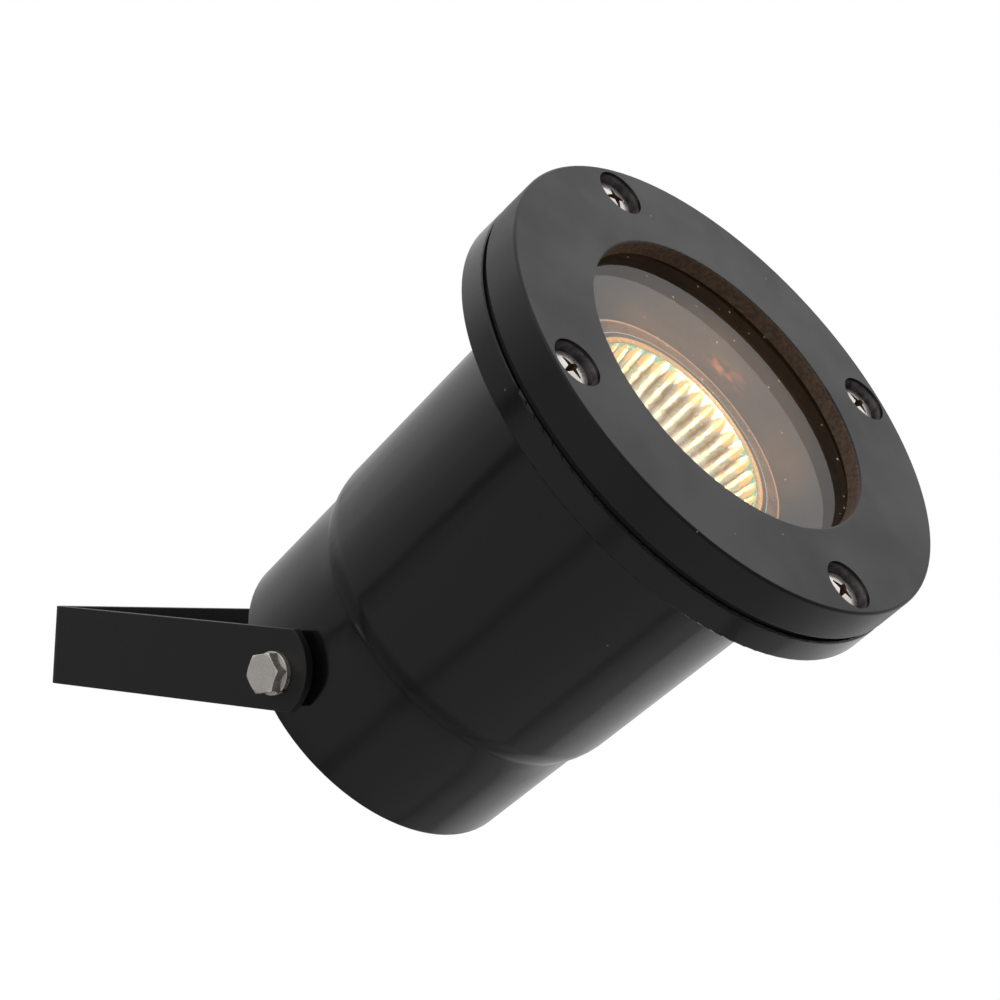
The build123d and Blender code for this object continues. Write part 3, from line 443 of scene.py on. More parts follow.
class Finish:
    """One material under way: its tree, its shader, and the place on the piece that patterns read."""

    def __init__(self, name, **constants):
        self.material = bpy.data.materials.new(title(name))
        self.material.use_nodes = True
        self.tree = self.material.node_tree
        self.shader = self.tree.nodes["Principled BSDF"]
        self.place = add_node(self.tree, "ShaderNodeTexCoord").outputs["Object"]
        for label, value in constants.items():
            self.set(title(label).replace("Ior", "IOR"), value)

    def set(self, label, value):
        """Sets or links one of the shader's inputs."""
        feed(self.tree, self.shader.inputs[label], value)

    def now(self, label):
        """What is linked to one of the shader's inputs."""
        return self.shader.inputs[label].links[0].from_socket

    def axis(self):
        """The surface's place in the head's frame, and along, out from and round the light's axis."""
        return effect(self.tree, "Light Axis", {"Vector": self.place})

    def tint(self, mask, rgba):
        """Blends the base colour into another as far as a mask says."""
        self.set("Base Color", blend(self.tree, mask, self.now("Base Color"), rgba))

    def bump(self, height, distance):
        """Raises the surface by a height pattern, on top of the one before it."""
        inputs = {"Height": height, "Distance": distance, "Strength": 1.0}
        if self.shader.inputs["Normal"].is_linked:
            inputs["Normal"] = self.now("Normal")
        self.set("Normal", add_node(self.tree, "ShaderNodeBump", inputs).outputs["Normal"])


def nearest_screw(tree, axis):
    """Distance of the surface from the axis of the nearest ring screw."""
    circle = SCREW_REACH - sizes().screw_head_radius
    inputs = {"Radius": axis["Radius"], "Angle": axis["Angle"], "Circle": circle}
    return effect(tree, "Nearest Screw", inputs)["Distance"]


def moulded(name, rgb, rough, grain, depth, dusty=0.0):
    """A moulded plastic, coat or rubber with grain, a slow change in gloss and settled dust."""
    made = Finish(name)
    tree = made.tree
    grained = effect(tree, "Moulded Grain", {"Vector": made.place, "Grain Scale": grain, "Flow Scale": 45.0})
    dust = effect(tree, "Settled Dust", {"Vector": made.place, "Specks": 260.0, "Size": 0.09, "Share": 0.16})
    darker = opaque([channel * 0.75 for channel in rgb])
    lighter = opaque([min(1.0, channel * 1.25) for channel in rgb])
    base = blend(tree, grained["Mottle"], darker, lighter)
    made.set("Base Color", blend(tree, product(tree, dust["Mask"], dusty), base, PALE_DUST))
    made.set("Roughness", remap(tree, grained["Mottle"], 0.3, 0.7, rough * 0.85, rough * 1.15))
    made.bump(grained["Height"], depth)
    return made


def housing_plastic():
    """Glossy black moulding of the barrel, a little wavy, and dull on its inside."""
    made = moulded("housing_plastic", colours().black_plastic,
                   rough=0.16, grain=2200.0, depth=0.001 * MM, dusty=0.5)
    tree = made.tree
    axis = made.axis()
    skin = remap(tree, axis["Along"], SHOULDER_REAR, SHOULDER_FRONT, REAR_SKIN, FRONT_SKIN)
    within = calc(tree, "LESS_THAN", axis["Radius"], skin)
    ahead = calc(tree, "GREATER_THAN", axis["Along"], REAR_WALL_MIDDLE)
    inside = product(tree, within, ahead)
    made.set("Roughness", calc(tree, "MULTIPLY_ADD", inside, 0.65, made.now("Roughness")))
    made.bump(noise(tree, made.place, 75.0, 3.0), 0.09 * MM)
    return made.material


def ring_plastic():
    """Satin black moulding of the front ring, glossy in its screw wells, with a painted reflection on the wells'
    walls and painted shade at their lips, its bore painted brown as lit by the lamp's warm light.
    """
    made = moulded("ring_plastic", colours().black_plastic,
                   rough=0.38, grain=3000.0, depth=0.012 * MM, dusty=0.9)
    tree = made.tree
    axis = made.axis()
    # Painted warm lamp light: the bore wall is browned in patches, as the lamp's light colours it
    bore = remap(tree, axis["Radius"], BORE_SKIN, BEHIND_BORE, 1.0, 0.0)
    patchy = remap(tree, noise(tree, made.place, 1100.0, 6.0), 0.3, 0.7, 0.5, 1.0)
    made.tint(product(tree, bore, patchy), LAMPLIT_BROWN)
    # Painted reflection: the screw wells' walls are lighter grey in patches, as if mirroring the screw heads;
    # painted shade darkens each well's lip
    well = calc(tree, "LESS_THAN", nearest_screw(tree, axis), WELL_RADIUS)
    inside = product(tree, well, calc(tree, "LESS_THAN", axis["Along"], FACE - WELL_MOUTH))
    reflection_patches = remap(tree, noise(tree, made.place, 500.0, 3.0), 0.35, 0.65, 0.4, 1.0)
    made.tint(product(tree, inside, reflection_patches), WELL_PAINTED_REFLECTION)
    lip = remap(tree, axis["Along"], FACE - LIP_BACK, FACE - LIP_FRONT)
    made.tint(product(tree, inside, lip), WELL_SHADE)
    rough = calc(tree, "MULTIPLY_ADD", inside, -0.12, made.now("Roughness"))
    made.set("Roughness", calc(tree, "MULTIPLY_ADD", bore, 0.35, rough))
    return made.material


def bracket_coat():
    """Satin black powder coat, rubbed lighter along its edges."""
    made = moulded("bracket_coat", colours().bracket_black,
                   rough=0.42, grain=2600.0, depth=0.02 * MM, dusty=0.5)
    tree = made.tree
    worn = effect(tree, "Worn Edge", {"Vector": made.place, "Width": 0.4 * MM, "Breakup Scale": 180.0})
    made.tint(product(tree, worn["Mask"], 0.6), WORN_COAT)
    return made.material


def black_rubber():
    """Soft black rubber."""
    return moulded("black_rubber", colours().rubber,
                   rough=0.7, grain=5000.0, depth=0.02 * MM).material


def gland_plastic():
    """Matt black nylon."""
    return moulded("gland_plastic", (0.012, 0.012, 0.012),
                   rough=0.5, grain=3000.0, depth=0.02 * MM, dusty=0.3).material


def spacer_nylon():
    """Smooth black nylon of the friction washers."""
    return moulded("spacer_nylon", (0.016, 0.016, 0.016),
                   rough=0.45, grain=4000.0, depth=0.01 * MM).material


def splice_plastic():
    """Red sleeve of the crimp splices."""
    return moulded("splice_plastic", (0.52, 0.030, 0.018),
                   rough=0.35, grain=2500.0, depth=0.01 * MM).material


def silicone_lead():
    """White silicone sleeving."""
    return moulded("silicone_lead", (0.62, 0.60, 0.55),
                   rough=0.5, grain=3500.0, depth=0.01 * MM, dusty=0.2).material


def metal(name, rgb, rough, stretch=(60.0, 3000.0, 3000.0), depth=0.004 * MM, tarnish=0.0, metallic=1.0):
    """A plain metal with drawn lines and a little tarnish."""
    made = Finish(name, metallic=metallic)
    tree = made.tree
    lines = effect(tree, "Drawn Lines", {"Vector": made.place, "Stretch": stretch})
    stained = product(tree, remap(tree, noise(tree, made.place, 350.0, 5.0), 0.45, 0.75), tarnish)
    brown = opaque([rgb[0] * 0.42, rgb[1] * 0.30, rgb[2] * 0.2])
    made.set("Base Color", blend(tree, stained, opaque(rgb), brown))
    made.set("Roughness", remap(tree, lines["Streak"], 0.3, 0.7, rough * 0.8, rough * 1.2))
    made.bump(lines["Height"], depth)
    return made


def crown_radius(size):
    """Radius of the sphere that the top of a ring screw's head is part of."""
    return (size.screw_head_radius ** 2 + size.screw_head_dome ** 2) / (2 * size.screw_head_dome)


def stainless():
    """Dull warm stainless of bolts, washers and screws, with painted shade and brown grime in its hollows and
    cross slots.
    """
    metallic = 0.92
    made = metal("stainless", colours().stainless, rough=0.3, stretch=(900.0, 900.0, 2500.0),
                 depth=0.003 * MM, tarnish=0.2, metallic=metallic)
    tree = made.tree
    inputs = {"Vector": made.place, "Reach": 1.2 * MM, "Breakup Scale": 1200.0}
    hollow_shade = effect(tree, "Hollow Shade And Dirt", inputs)["Mask"]
    axis = made.axis()
    out = nearest_screw(tree, axis)
    fall = calc(tree, "DIVIDE", product(tree, out, out), 2 * crown_radius(sizes()))
    sunk = calc(tree, "SUBTRACT", calc(tree, "SUBTRACT", SCREW_TOP, axis["Along"]), fall)
    beside = calc(tree, "LESS_THAN", out, SLOT_REACH)
    above = calc(tree, "LESS_THAN", sunk, SLOT_BOTTOM)
    below = calc(tree, "GREATER_THAN", sunk, 0.0)
    slot = product(tree, remap(tree, sunk, SLOT_SHADE_START, SLOT_SHADE_FULL), beside, above, below)
    # Painted shade and grime: the hollows and cross slots are darkened to brown, made less metallic and duller
    shade_and_dirt = calc(tree, "MAXIMUM", product(tree, hollow_shade, 0.6), slot)
    made.set("Metallic", calc(tree, "MULTIPLY_ADD", shade_and_dirt, -0.8, metallic))
    made.tint(shade_and_dirt, SLOT_SHADE_AND_DIRT)
    made.set("Roughness", calc(tree, "MULTIPLY_ADD", shade_and_dirt, 0.3, made.now("Roughness")))
    return made.material


def brass():
    """Plain brass."""
    return metal("brass", colours().brass, rough=0.28, stretch=(2500.0, 2500.0, 200.0),
                 depth=0.003 * MM, tarnish=0.3).material


def nickel():
    """Nickel plate."""
    return metal("nickel", (0.66, 0.63, 0.57), rough=0.18).material


def cradle_steel():
    """Plated steel strip."""
    return metal("cradle_steel", (0.50, 0.50, 0.49), rough=0.32, tarnish=0.4).material


def zinc_screws():
    """Zinc plated steel."""
    return metal("zinc_screws", (0.58, 0.59, 0.60), rough=0.3, tarnish=0.2).material


def tungsten():
    """Glowing tungsten wire."""
    made = Finish("tungsten", metallic=1.0, roughness=0.4, emission_strength=30.0)
    hot = noise(made.tree, made.place, 900.0)
    made.set("Base Color", WIRE_GREY)
    made.set("Emission Color", blend(made.tree, hot, WIRE_ORANGE, WIRE_YELLOW))
    return made.material


def white_ceramic():
    """Off-white steatite with a faint speckle."""
    return moulded("white_ceramic", colours().ceramic,
                   rough=0.55, grain=1800.0, depth=0.03 * MM, dusty=0.2).material


def seat_ring_metal():
    """Plated steel ring, painted brown and gold as if warmly lit by the lamp, with a painted glow over it and
    along its outer rim.
    """
    made = Finish("seat_ring_metal", metallic=0.9, emission_strength=1.0)
    tree = made.tree
    axis = made.axis()
    # Painted lamp light: the brown and gold stand in for the lamp's warm light, and the emission is a painted glow
    patchy = noise(tree, made.place, 180.0, 5.0)
    made.set("Base Color", blend(tree, patchy, SEAT_LAMPLIT_BROWN, SEAT_LAMPLIT_GOLD))
    made.set("Roughness", remap(tree, patchy, 0.3, 0.7, 0.22, 0.4))
    outer = band(tree, axis["Radius"], SEAT_RING_RADIUS - 0.2 * MM, 0.25 * MM, 0.25 * MM)
    glow = calc(tree, "MULTIPLY_ADD", outer, 0.4, product(tree, patchy, 0.22))
    made.set("Emission Color", blend(tree, glow, NO_LIGHT, SEAT_GLOW))
    return made.material


def reflector_coating():
    """Coated bowl of the lit lamp: cream flutes with painted shade on their sides and brown creases, a cyan
    fringe, a gold rim and a painted highlight line, glowing with painted lamp light and a painted reflection of
    the filament.
    """
    palette = colours()
    made = Finish("reflector_coating", metallic=0.9, emission_strength=1.0)
    tree = made.tree
    axis = made.axis()
    depth = calc(tree, "SUBTRACT", COVER_BACK, axis["Along"])
    waves = noise(tree, made.place, 420.0, 5.0)
    wander = calc(tree, "SUBTRACT", waves, 0.5)
    # Painted shade: each flute is cream at its crest and darker toward its sides and its brown crease, as light
    # falls across the flutes
    turns = product(tree, axis["Angle"], sizes().flute_count / math.tau)
    from_crease = calc(tree, "PINGPONG", calc(tree, "MULTIPLY_ADD", wander, 0.5, turns), 0.5)
    crease = remap(tree, from_crease, 0.05, 0.2, 1.0, 0.0)
    half_way = remap(tree, from_crease, 0.2, 0.5, 0.0, 1.0)
    flute = blend(tree, half_way, FLUTE_SIDE_SHADE, opaque(palette.lamp_cream))
    flute = blend(tree, product(tree, crease, 0.8), flute, FLUTE_CREASE_SHADE)

    scallop = calc(tree, "MULTIPLY_ADD", wander, 1.2 * MM, depth)
    scallop = calc(tree, "MULTIPLY_ADD", half_way, 1.1 * MM, scallop)
    fringe = remap(tree, scallop, 1.0 * MM, 3.0 * MM, 1.0, 0.0)
    bowl = blend(tree, fringe, flute, opaque(palette.lamp_cyan))
    ledge = remap(tree, axis["Radius"], LEDGE_START, LEDGE_FULL)
    glassy = remap(tree, axis["Radius"], COVER_RADIUS, COVER_RADIUS + 0.2 * MM)
    surface = blend(tree, ledge, bowl, opaque(palette.lamp_gold))
    surface = blend(tree, glassy, surface, RIM_GREY)
    # Painted highlight: a bright line just within the rim
    line = band(tree, axis["Radius"], RIM_RADIUS - HIGHLIGHT_INSET, 0.12 * MM, 0.1 * MM)
    surface = blend(tree, line, surface, RIM_HIGHLIGHT)
    made.set("Base Color", surface)
    made.set("Roughness", remap(tree, waves, 0.3, 0.7, 0.24, 0.36))

    # Painted glow: the bowl, its gold ledge and the rim's highlight line give off the lamp's light as emission,
    # with a painted white reflection of the filament on one side near the mouth
    own = remap(tree, axis["Radius"], COVER_RADIUS + 0.1 * MM, COVER_RADIUS + 0.4 * MM, 0.24, 0.12)
    under_cover = remap(tree, axis["Radius"], COVER_RADIUS, COVER_RADIUS + 0.2 * MM, 0.8, 0.0)
    gold_glow = product(tree, ledge, under_cover)
    lit = calc(tree, "MAXIMUM", calc(tree, "MAXIMUM", own, gold_glow), product(tree, line, 0.5))
    glow = blend(tree, lit, NO_LIGHT, surface)
    facing = calc(tree, "COSINE", calc(tree, "SUBTRACT", axis["Angle"], FILAMENT_REFLECTION_ANGLE))
    shallow = remap(tree, depth, 0.5 * MM, 5.0 * MM, 1.0, 0.0)
    hot = product(tree, remap(tree, facing, 0.8, 1.0), shallow, calc(tree, "SUBTRACT", 1.0, ledge))
    made.set("Emission Color", blend(tree, hot, glow, FILAMENT_REFLECTION_WHITE))
    made.bump(waves, 0.06 * MM)
    return made.material


def glass(name, rgb, rough, ior):
    """Clear glass of a given tint, roughness and index."""
    return Finish(name, transmission_weight=1.0, ior=ior, base_color=opaque(rgb), roughness=rough)


def lens_glass():
    """Clear toughened glass of the front lens, with a film and specks of dust that glow with painted lamp light,
    and a painted red glint.
    """
    made = glass("lens_glass", (0.95, 0.93, 0.90), 0.0, 1.36)
    tree = made.tree
    made.set("Emission Strength", 1.0)
    axis = made.axis()
    # Painted glow: the dust film gives off the lamp's light as emission, fading outward, with a painted red glint
    # and lit specks
    patchy = remap(tree, noise(tree, made.place, 60.0, 4.0), 0.3, 0.7)
    film = blend(tree, patchy, THIN_FILM_GLOW, THICK_FILM_GLOW)
    film = blend(tree, remap(tree, axis["Radius"], FILM_GLOW_FULL, FILM_GLOW_END, 1.0, 0.1), OUTER_FILM_GLOW, film)
    near = vector_calc(tree, "DISTANCE", axis["Place"], (*GLINT_PLACE, LENS_BACK))
    broken = remap(tree, noise(tree, made.place, 210.0, 2.0), 0.48, 0.72)
    glint = product(tree, remap(tree, near, GLINT_CORE, GLINT_END, 1.0, 0.0), broken)
    film = blend(tree, glint, film, GLINT_RED)
    dust = effect(tree, "Settled Dust", {"Vector": made.place, "Specks": 420.0, "Size": 0.11, "Share": 0.6})
    made.set("Emission Color", blend(tree, dust["Mask"], film, LIT_DUST))
    return made.material


def clear_glass():
    """Thin front glass of the lamp."""
    return glass("clear_glass", (0.97, 0.97, 0.95), 0.0, 1.5).material


def quartz():
    """Quartz capsule, aglow from the filament."""
    made = glass("quartz", (0.98, 0.96, 0.92), 0.02, 1.46)
    made.set("Emission Strength", 4.6)
    middle = (CAPSULE_FOOT + CAPSULE_TOP) / 2
    lit = band(made.tree, made.axis()["Along"], middle, 5.0 * MM, 6.0 * MM)
    made.set("Emission Color", blend(made.tree, lit, CAPSULE_DIM, opaque(colours().glow)))
    return made.material


FINISHES = {
    "housing_plastic": housing_plastic,
    "ring_plastic": ring_plastic,
    "bracket_coat": bracket_coat,
    "black_rubber": black_rubber,
    "gland_plastic": gland_plastic,
    "spacer_nylon": spacer_nylon,
    "splice_plastic": splice_plastic,
    "silicone_lead": silicone_lead,
    "stainless": stainless,
    "brass": brass,
    "nickel": nickel,
    "cradle_steel": cradle_steel,
    "zinc_screws": zinc_screws,
    "tungsten": tungsten,
    "white_ceramic": white_ceramic,
    "seat_ring_metal": seat_ring_metal,
    "reflector_coating": reflector_coating,
    "lens_glass": lens_glass,
    "clear_glass": clear_glass,
    "quartz": quartz,
}


def finish(name):
    """The material of that name, made on first use."""
    return bpy.data.materials.get(title(name)) or FINISHES[name]()


# Piece building

def node_slot(node):
    """The record's material slot of a CAD node."""
    return next(part["material_slot"] for part in frame["record"]["subparts"] if part["node"] == node)


def new_object(name, data):
    """A new object that is linked to the scene."""
    made = bpy.data.objects.new(name, data)
    bpy.context.scene.collection.objects.link(made)
    return made


def place_piece(name, mesh, body, slot, replaced):
    """Adds a finished mesh to the scene in its finish, riding on a body in the place of CAD nodes."""
    piece = new_object(name, mesh)
    mesh.materials.clear()
    mesh.materials.append(finish(slot))
    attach(piece, body)
    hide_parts(*replaced)


def set_creases(shape):
    """Smooth faces, with the edges sharp where two faces meet past the crease angle."""
    for face in shape.faces:
        face.smooth = True
    for edge in shape.edges:
        edge.smooth = len(edge.link_faces) == 2 and edge.calc_face_angle(0.0) < CREASE_ANGLE


def merged_mesh(node):
    """Mesh of a CAD node with its loose triangles joined and its flat faces made whole."""
    source = frame["nodes"][node].data
    mesh = bpy.data.meshes.new(node + "_finished")
    mesh.from_pydata([v.co for v in source.vertices], [], [p.vertices for p in source.polygons])
    shape = bmesh.new()
    shape.from_mesh(mesh)
    bmesh.ops.remove_doubles(shape, verts=shape.verts, dist=MERGE_DISTANCE)
    bmesh.ops.dissolve_limit(shape, angle_limit=FLAT_ANGLE, verts=shape.verts, edges=shape.edges)
    set_creases(shape)
    shape.to_mesh(mesh)
    shape.free()
    return mesh


def evaluated_mesh(holder):
    """Plain mesh of an object with its modifiers, whose object is then deleted."""
    graph = bpy.context.evaluated_depsgraph_get()
    mesh = bpy.data.meshes.new_from_object(holder.evaluated_get(graph), depsgraph=graph)
    holder.modifiers.clear()
    bpy.data.objects.remove(holder)
    return mesh


def eased_mesh(mesh, width=0.0):
    """The mesh with flat faces shaded flat, and its sharp edges bevelled where a width is given."""
    holder = new_object("easing", mesh)
    if width:
        bevel = holder.modifiers.new("Eased Edges", "BEVEL")
        bevel.width = width
        bevel.segments = 3
        bevel.limit_method = "ANGLE"
        bevel.angle_limit = CREASE_ANGLE
    even = holder.modifiers.new("Even Faces", "WEIGHTED_NORMAL")
    even.keep_sharp = True
    return evaluated_mesh(holder)


def dress(*nodes, body=HEAD, edge=0.0):
    """CAD nodes in their finished form: smooth, creased, with eased edges where a width is given."""
    for node in nodes:
        mesh = eased_mesh(merged_mesh(node), edge)
        place_piece(node + "_finished", mesh, body, node_slot(node), [node])


def grown_mesh(base, tree, inputs):
    """Plain mesh that a geometry tree makes from a base mesh and named inputs."""
    holder = new_object("growing", base)
    modifier = holder.modifiers.new(tree.name, "NODES")
    modifier.node_group = tree
    for item in tree.interface.items_tree:
        if item.in_out == "INPUT" and item.name in inputs:
            modifier[item.identifier] = inputs[item.name]
    return evaluated_mesh(holder)


def close_up(mesh, matrix):
    """Merges a grown mesh's seams, turns its faces outward, creases it and puts it in place."""
    shape = bmesh.new()
    shape.from_mesh(mesh)
    bmesh.ops.remove_doubles(shape, verts=shape.verts, dist=MERGE_DISTANCE)
    bmesh.ops.dissolve_degenerate(shape, edges=shape.edges, dist=MERGE_DISTANCE)
    bmesh.ops.recalc_face_normals(shape, faces=shape.faces)
    set_creases(shape)
    shape.to_mesh(mesh)
    shape.free()
    mesh.transform(matrix)
    return mesh


def profile_mesh(points, fluted=()):
    """Open line of (radius, height) points to be turned, with a mark on the points that are fluted."""
    mesh = bpy.data.meshes.new("profile")
    mesh.from_pydata([(r, 0.0, z) for r, z in points], [(k, k + 1) for k in range(len(points) - 1)], [])
    marks = mesh.attributes.new("fluted", "FLOAT", "POINT")
    marks.data.foreach_set("value", [1.0 if k in fluted else 0.0 for k in range(len(points))])
    return mesh


def new_shape_tree(name, inputs):
    """A geometry tree with named inputs, a material and one geometry output."""
    inputs["Material"] = "NodeSocketMaterial"
    return new_group(name, "GeometryNodeTree", inputs, {"Geometry": "NodeSocketGeometry"})


def end_shape_tree(tree, geometry, given, result):
    """Makes a geometry tree's instances real and gives its result the material."""
    real = add_node(tree, "GeometryNodeRealizeInstances", {0: geometry})
    ended = add_node(tree, "GeometryNodeSetMaterial", {0: real.outputs[0], "Material": given["Material"]})
    tree.links.new(ended.outputs[0], result["Geometry"])
    return tree


def build_turned_piece():
    """Geometry tree that turns a profile about Z, and presses rounded flutes into its marked points."""
    tree, given, result = new_shape_tree("Turned Piece", {
        "Profile": "NodeSocketGeometry", "Steps": 96, "Flutes": 0, "Flute Depth": 0.0,
        "Mouth Radius": 22.5 * MM, "Mouth Height": 0.0, "Tip Length": 2.2 * MM})
    profile = given["Profile"]
    size = add_node(tree, "GeometryNodeAttributeDomainSize", {"Geometry": profile}).outputs
    count = size["Point Count"]
    rings = calc(tree, "ADD", given["Steps"], 1.0)
    grid = add_node(tree, "GeometryNodeMeshGrid", {"Vertices X": count, "Vertices Y": rings})
    spot_place = add_node(tree, "GeometryNodeInputPosition").outputs[0]
    spot = add_node(tree, "ShaderNodeSeparateXYZ", {0: spot_place}).outputs
    last = calc(tree, "SUBTRACT", count, 1.0)
    row = calc(tree, "ROUND", product(tree, calc(tree, "ADD", spot["X"], 0.5), last))
    around = calc(tree, "ADD", spot["Y"], 0.5)
    named = add_node(tree, "GeometryNodeInputNamedAttribute", {"Name": "fluted"}, data_type="FLOAT")
    point = add_node(tree, "GeometryNodeSampleIndex",
                     {"Geometry": profile, "Index": row}, data_type="FLOAT_VECTOR")
    mark = add_node(tree, "GeometryNodeSampleIndex",
                    {"Geometry": profile, "Index": row}, data_type="FLOAT")
    feed(tree, point.inputs["Value"], spot_place)
    feed(tree, mark.inputs["Value"], named.outputs["Attribute"])
    outline = add_node(tree, "ShaderNodeSeparateXYZ", {0: point.outputs[0]}).outputs
    radius, height = outline["X"], outline["Z"]

    share = calc(tree, "FRACT", product(tree, around, given["Flutes"]))
    off_centre = calc(tree, "SUBTRACT", product(tree, share, 2.0), 1.0)
    square = product(tree, off_centre, off_centre)
    hump = calc(tree, "SUBTRACT", 1.0, square)
    depth = calc(tree, "SUBTRACT", given["Mouth Height"], height)
    start = product(tree, square, given["Tip Length"])
    ramp = calc(tree, "DIVIDE", calc(tree, "SUBTRACT", depth, start), FLUTE_RISE, clamp=True)
    taper = calc(tree, "DIVIDE", radius, given["Mouth Radius"])
    bulge = product(tree, product(tree, hump, ramp), product(tree, taper, mark.outputs[0]))
    radius = calc(tree, "MULTIPLY_ADD", bulge, given["Flute Depth"], radius)

    angle = product(tree, around, math.tau)
    x = product(tree, radius, calc(tree, "COSINE", angle))
    y = product(tree, radius, calc(tree, "SINE", angle))
    turned = add_node(tree, "ShaderNodeCombineXYZ", {0: x, 1: y, 2: height}).outputs[0]
    inputs = {"Geometry": grid.outputs["Mesh"], "Position": turned}
    placed = add_node(tree, "GeometryNodeSetPosition", inputs).outputs[0]
    return end_shape_tree(tree, placed, given, result)


def turned_mesh(points, steps, material, matrix, fluted=(), **flutes):
    """A closed turned mesh, put in place by a matrix."""
    tree = bpy.data.node_groups.get("Turned Piece") or build_turned_piece()
    inputs = {"Steps": steps, "Material": finish(material), **flutes}
    return close_up(grown_mesh(profile_mesh(points, fluted), tree, inputs), matrix)


def arc_points(centre_r, centre_z, radius, start, end, steps):
    """Points along an arc of a profile, angles in degrees from outward, turning toward the front."""
    turns = [math.radians(start + (end - start) * k / steps) for k in range(steps + 1)]
    return [(centre_r + radius * math.cos(t), centre_z + radius * math.sin(t)) for t in turns]


def build_screw_circle():
    """Geometry tree that stands screws evenly round a circle, each with its own turn."""
    count = len(CROSS_TURNS)
    turns = [f"Turn {k + 1}" for k in range(count)]
    tree, given, result = new_shape_tree("Screw Circle", {
        "Screw": "NodeSocketGeometry", "Circle Radius": 0.0, "Height": 0.0, **dict.fromkeys(turns, 0.0)})
    circle = add_node(tree, "GeometryNodeMeshCircle", {"Vertices": count, "Radius": given["Circle Radius"]})
    index = add_node(tree, "GeometryNodeInputIndex").outputs[0]
    choice = add_node(tree, "GeometryNodeIndexSwitch", {"Index": index}, data_type="FLOAT")
    while len(choice.index_switch_items) < count:
        choice.index_switch_items.new()
    for k, label in enumerate(turns):
        feed(tree, choice.inputs[k + 1], given[label])
    turn = calc(tree, "MULTIPLY_ADD", index, math.tau / count, choice.outputs[0])
    turned = add_node(tree, "ShaderNodeCombineXYZ", {2: turn}).outputs[0]
    inputs = {"Points": circle.outputs[0], "Instance": given["Screw"], "Rotation": turned}
    stood = add_node(tree, "GeometryNodeInstanceOnPoints", inputs).outputs[0]
    height = add_node(tree, "ShaderNodeCombineXYZ", {2: given["Height"]}).outputs[0]
    raised = add_node(tree, "GeometryNodeTransform", {"Geometry": stood, "Translation": height}).outputs[0]
    return end_shape_tree(tree, raised, given, result)


# Widths of the cross cutter at its two ends, as shares of the slot's, and its start above the head
CUTTER_TOP_SHARE, CUTTER_TIP_SHARE = 1.12, 0.36
CUTTER_START = 0.4 * MM


def cross_cutter(size, top):
    """Tapered star that cuts a cross slot: four pointed arms, wide in the middle."""
    waist = size.cross_waist * math.sqrt(0.5)
    arm = ((size.cross_reach, -size.cross_tip), (size.cross_reach, size.cross_tip), (waist, waist))
    outline = []
    for k in range(4):
        turn = Matrix.Rotation(math.pi / 2 * k, 2)
        outline += [turn @ Vector(point) for point in arm]
    shape = bmesh.new()
    rings = []
    ends = ((CUTTER_TOP_SHARE, top + CUTTER_START), (CUTTER_TIP_SHARE, top - size.cross_depth))
    for share, height in ends:
        rings.append([shape.verts.new((p.x * share, p.y * share, height)) for p in outline])
    upper, lower = rings
    shape.faces.new(upper)
    shape.faces.new(reversed(lower))
    for k in range(len(outline)):
        after = (k + 1) % len(outline)
        shape.faces.new((lower[k], lower[after], upper[after], upper[k]))
    bmesh.ops.recalc_face_normals(shape, faces=shape.faces)
    mesh = bpy.data.meshes.new("cross_cutter")
    shape.to_mesh(mesh)
    shape.free()
    return mesh


def ring_screw_mesh(size):
    """One ring screw, standing on its seat: domed pan head, cross slot and shank."""
    head, top, rounding = size.screw_head_radius, size.screw_head_height, size.screw_head_round
    dome = crown_radius(size)
    tilt = math.asin((head - rounding) / (dome - rounding))
    tilts = [tilt * k / 10 for k in range(10)]
    points = [(dome * math.sin(t), top - dome * (1 - math.cos(t))) for t in tilts]
    rim_height = top - dome + (dome - rounding) * math.cos(tilt)
    points += arc_points(head - rounding, rim_height, rounding, 90 - math.degrees(tilt), 0, 6)
    foot = SCREW_END - (SCREW_TOP - top)
    points += [(head, 0.0), (size.screw_radius, 0.0), (size.screw_radius, foot), (0.0, foot)]
    holder = new_object("blank", turned_mesh(points, 64, "stainless", Matrix.Identity(4)))
    cutter = new_object("cross_cutter", cross_cutter(size, top))
    cut = holder.modifiers.new("Cross Slot", "BOOLEAN")
    cut.operation = "DIFFERENCE"
    cut.solver = "EXACT"
    cut.object = cutter
    mesh = evaluated_mesh(holder)
    bpy.data.objects.remove(cutter)
    return mesh


def build_filament():
    """Geometry tree that winds a coil along X and draws the same wire along the base mesh's edges."""
    tree, given, result = new_shape_tree("Filament", {
        "Legs": "NodeSocketGeometry", "Turns": 11, "Coil Radius": 0.66 * MM,
        "Coil Length": 4.2 * MM, "Wire Radius": 0.14 * MM})
    coil = add_node(tree, "GeometryNodeCurveSpiral", {
        "Resolution": 20, "Rotations": given["Turns"], "Start Radius": given["Coil Radius"],
        "End Radius": given["Coil Radius"], "Height": given["Coil Length"]})
    half_back = product(tree, given["Coil Length"], -0.5)
    start = add_node(tree, "ShaderNodeCombineXYZ", {0: half_back}).outputs[0]
    laid = add_node(tree, "GeometryNodeTransform", {
        "Geometry": coil.outputs[0], "Translation": start, "Rotation": (0.0, math.pi / 2, 0.0)})
    legs = add_node(tree, "GeometryNodeMeshToCurve", {0: given["Legs"]})
    both = tree.nodes.new("GeometryNodeJoinGeometry")
    for part in (laid, legs):
        tree.links.new(part.outputs[0], both.inputs[0])
    inputs = {"Resolution": 8, "Radius": given["Wire Radius"]}
    wire = add_node(tree, "GeometryNodeCurvePrimitiveCircle", inputs).outputs[0]
    inputs = {"Curve": both.outputs[0], "Profile Curve": wire, "Fill Caps": True}
    drawn = add_node(tree, "GeometryNodeCurveToMesh", inputs).outputs[0]
    return end_shape_tree(tree, drawn, given, result)


# One operator for each piece or group of like pieces, and one for the stage

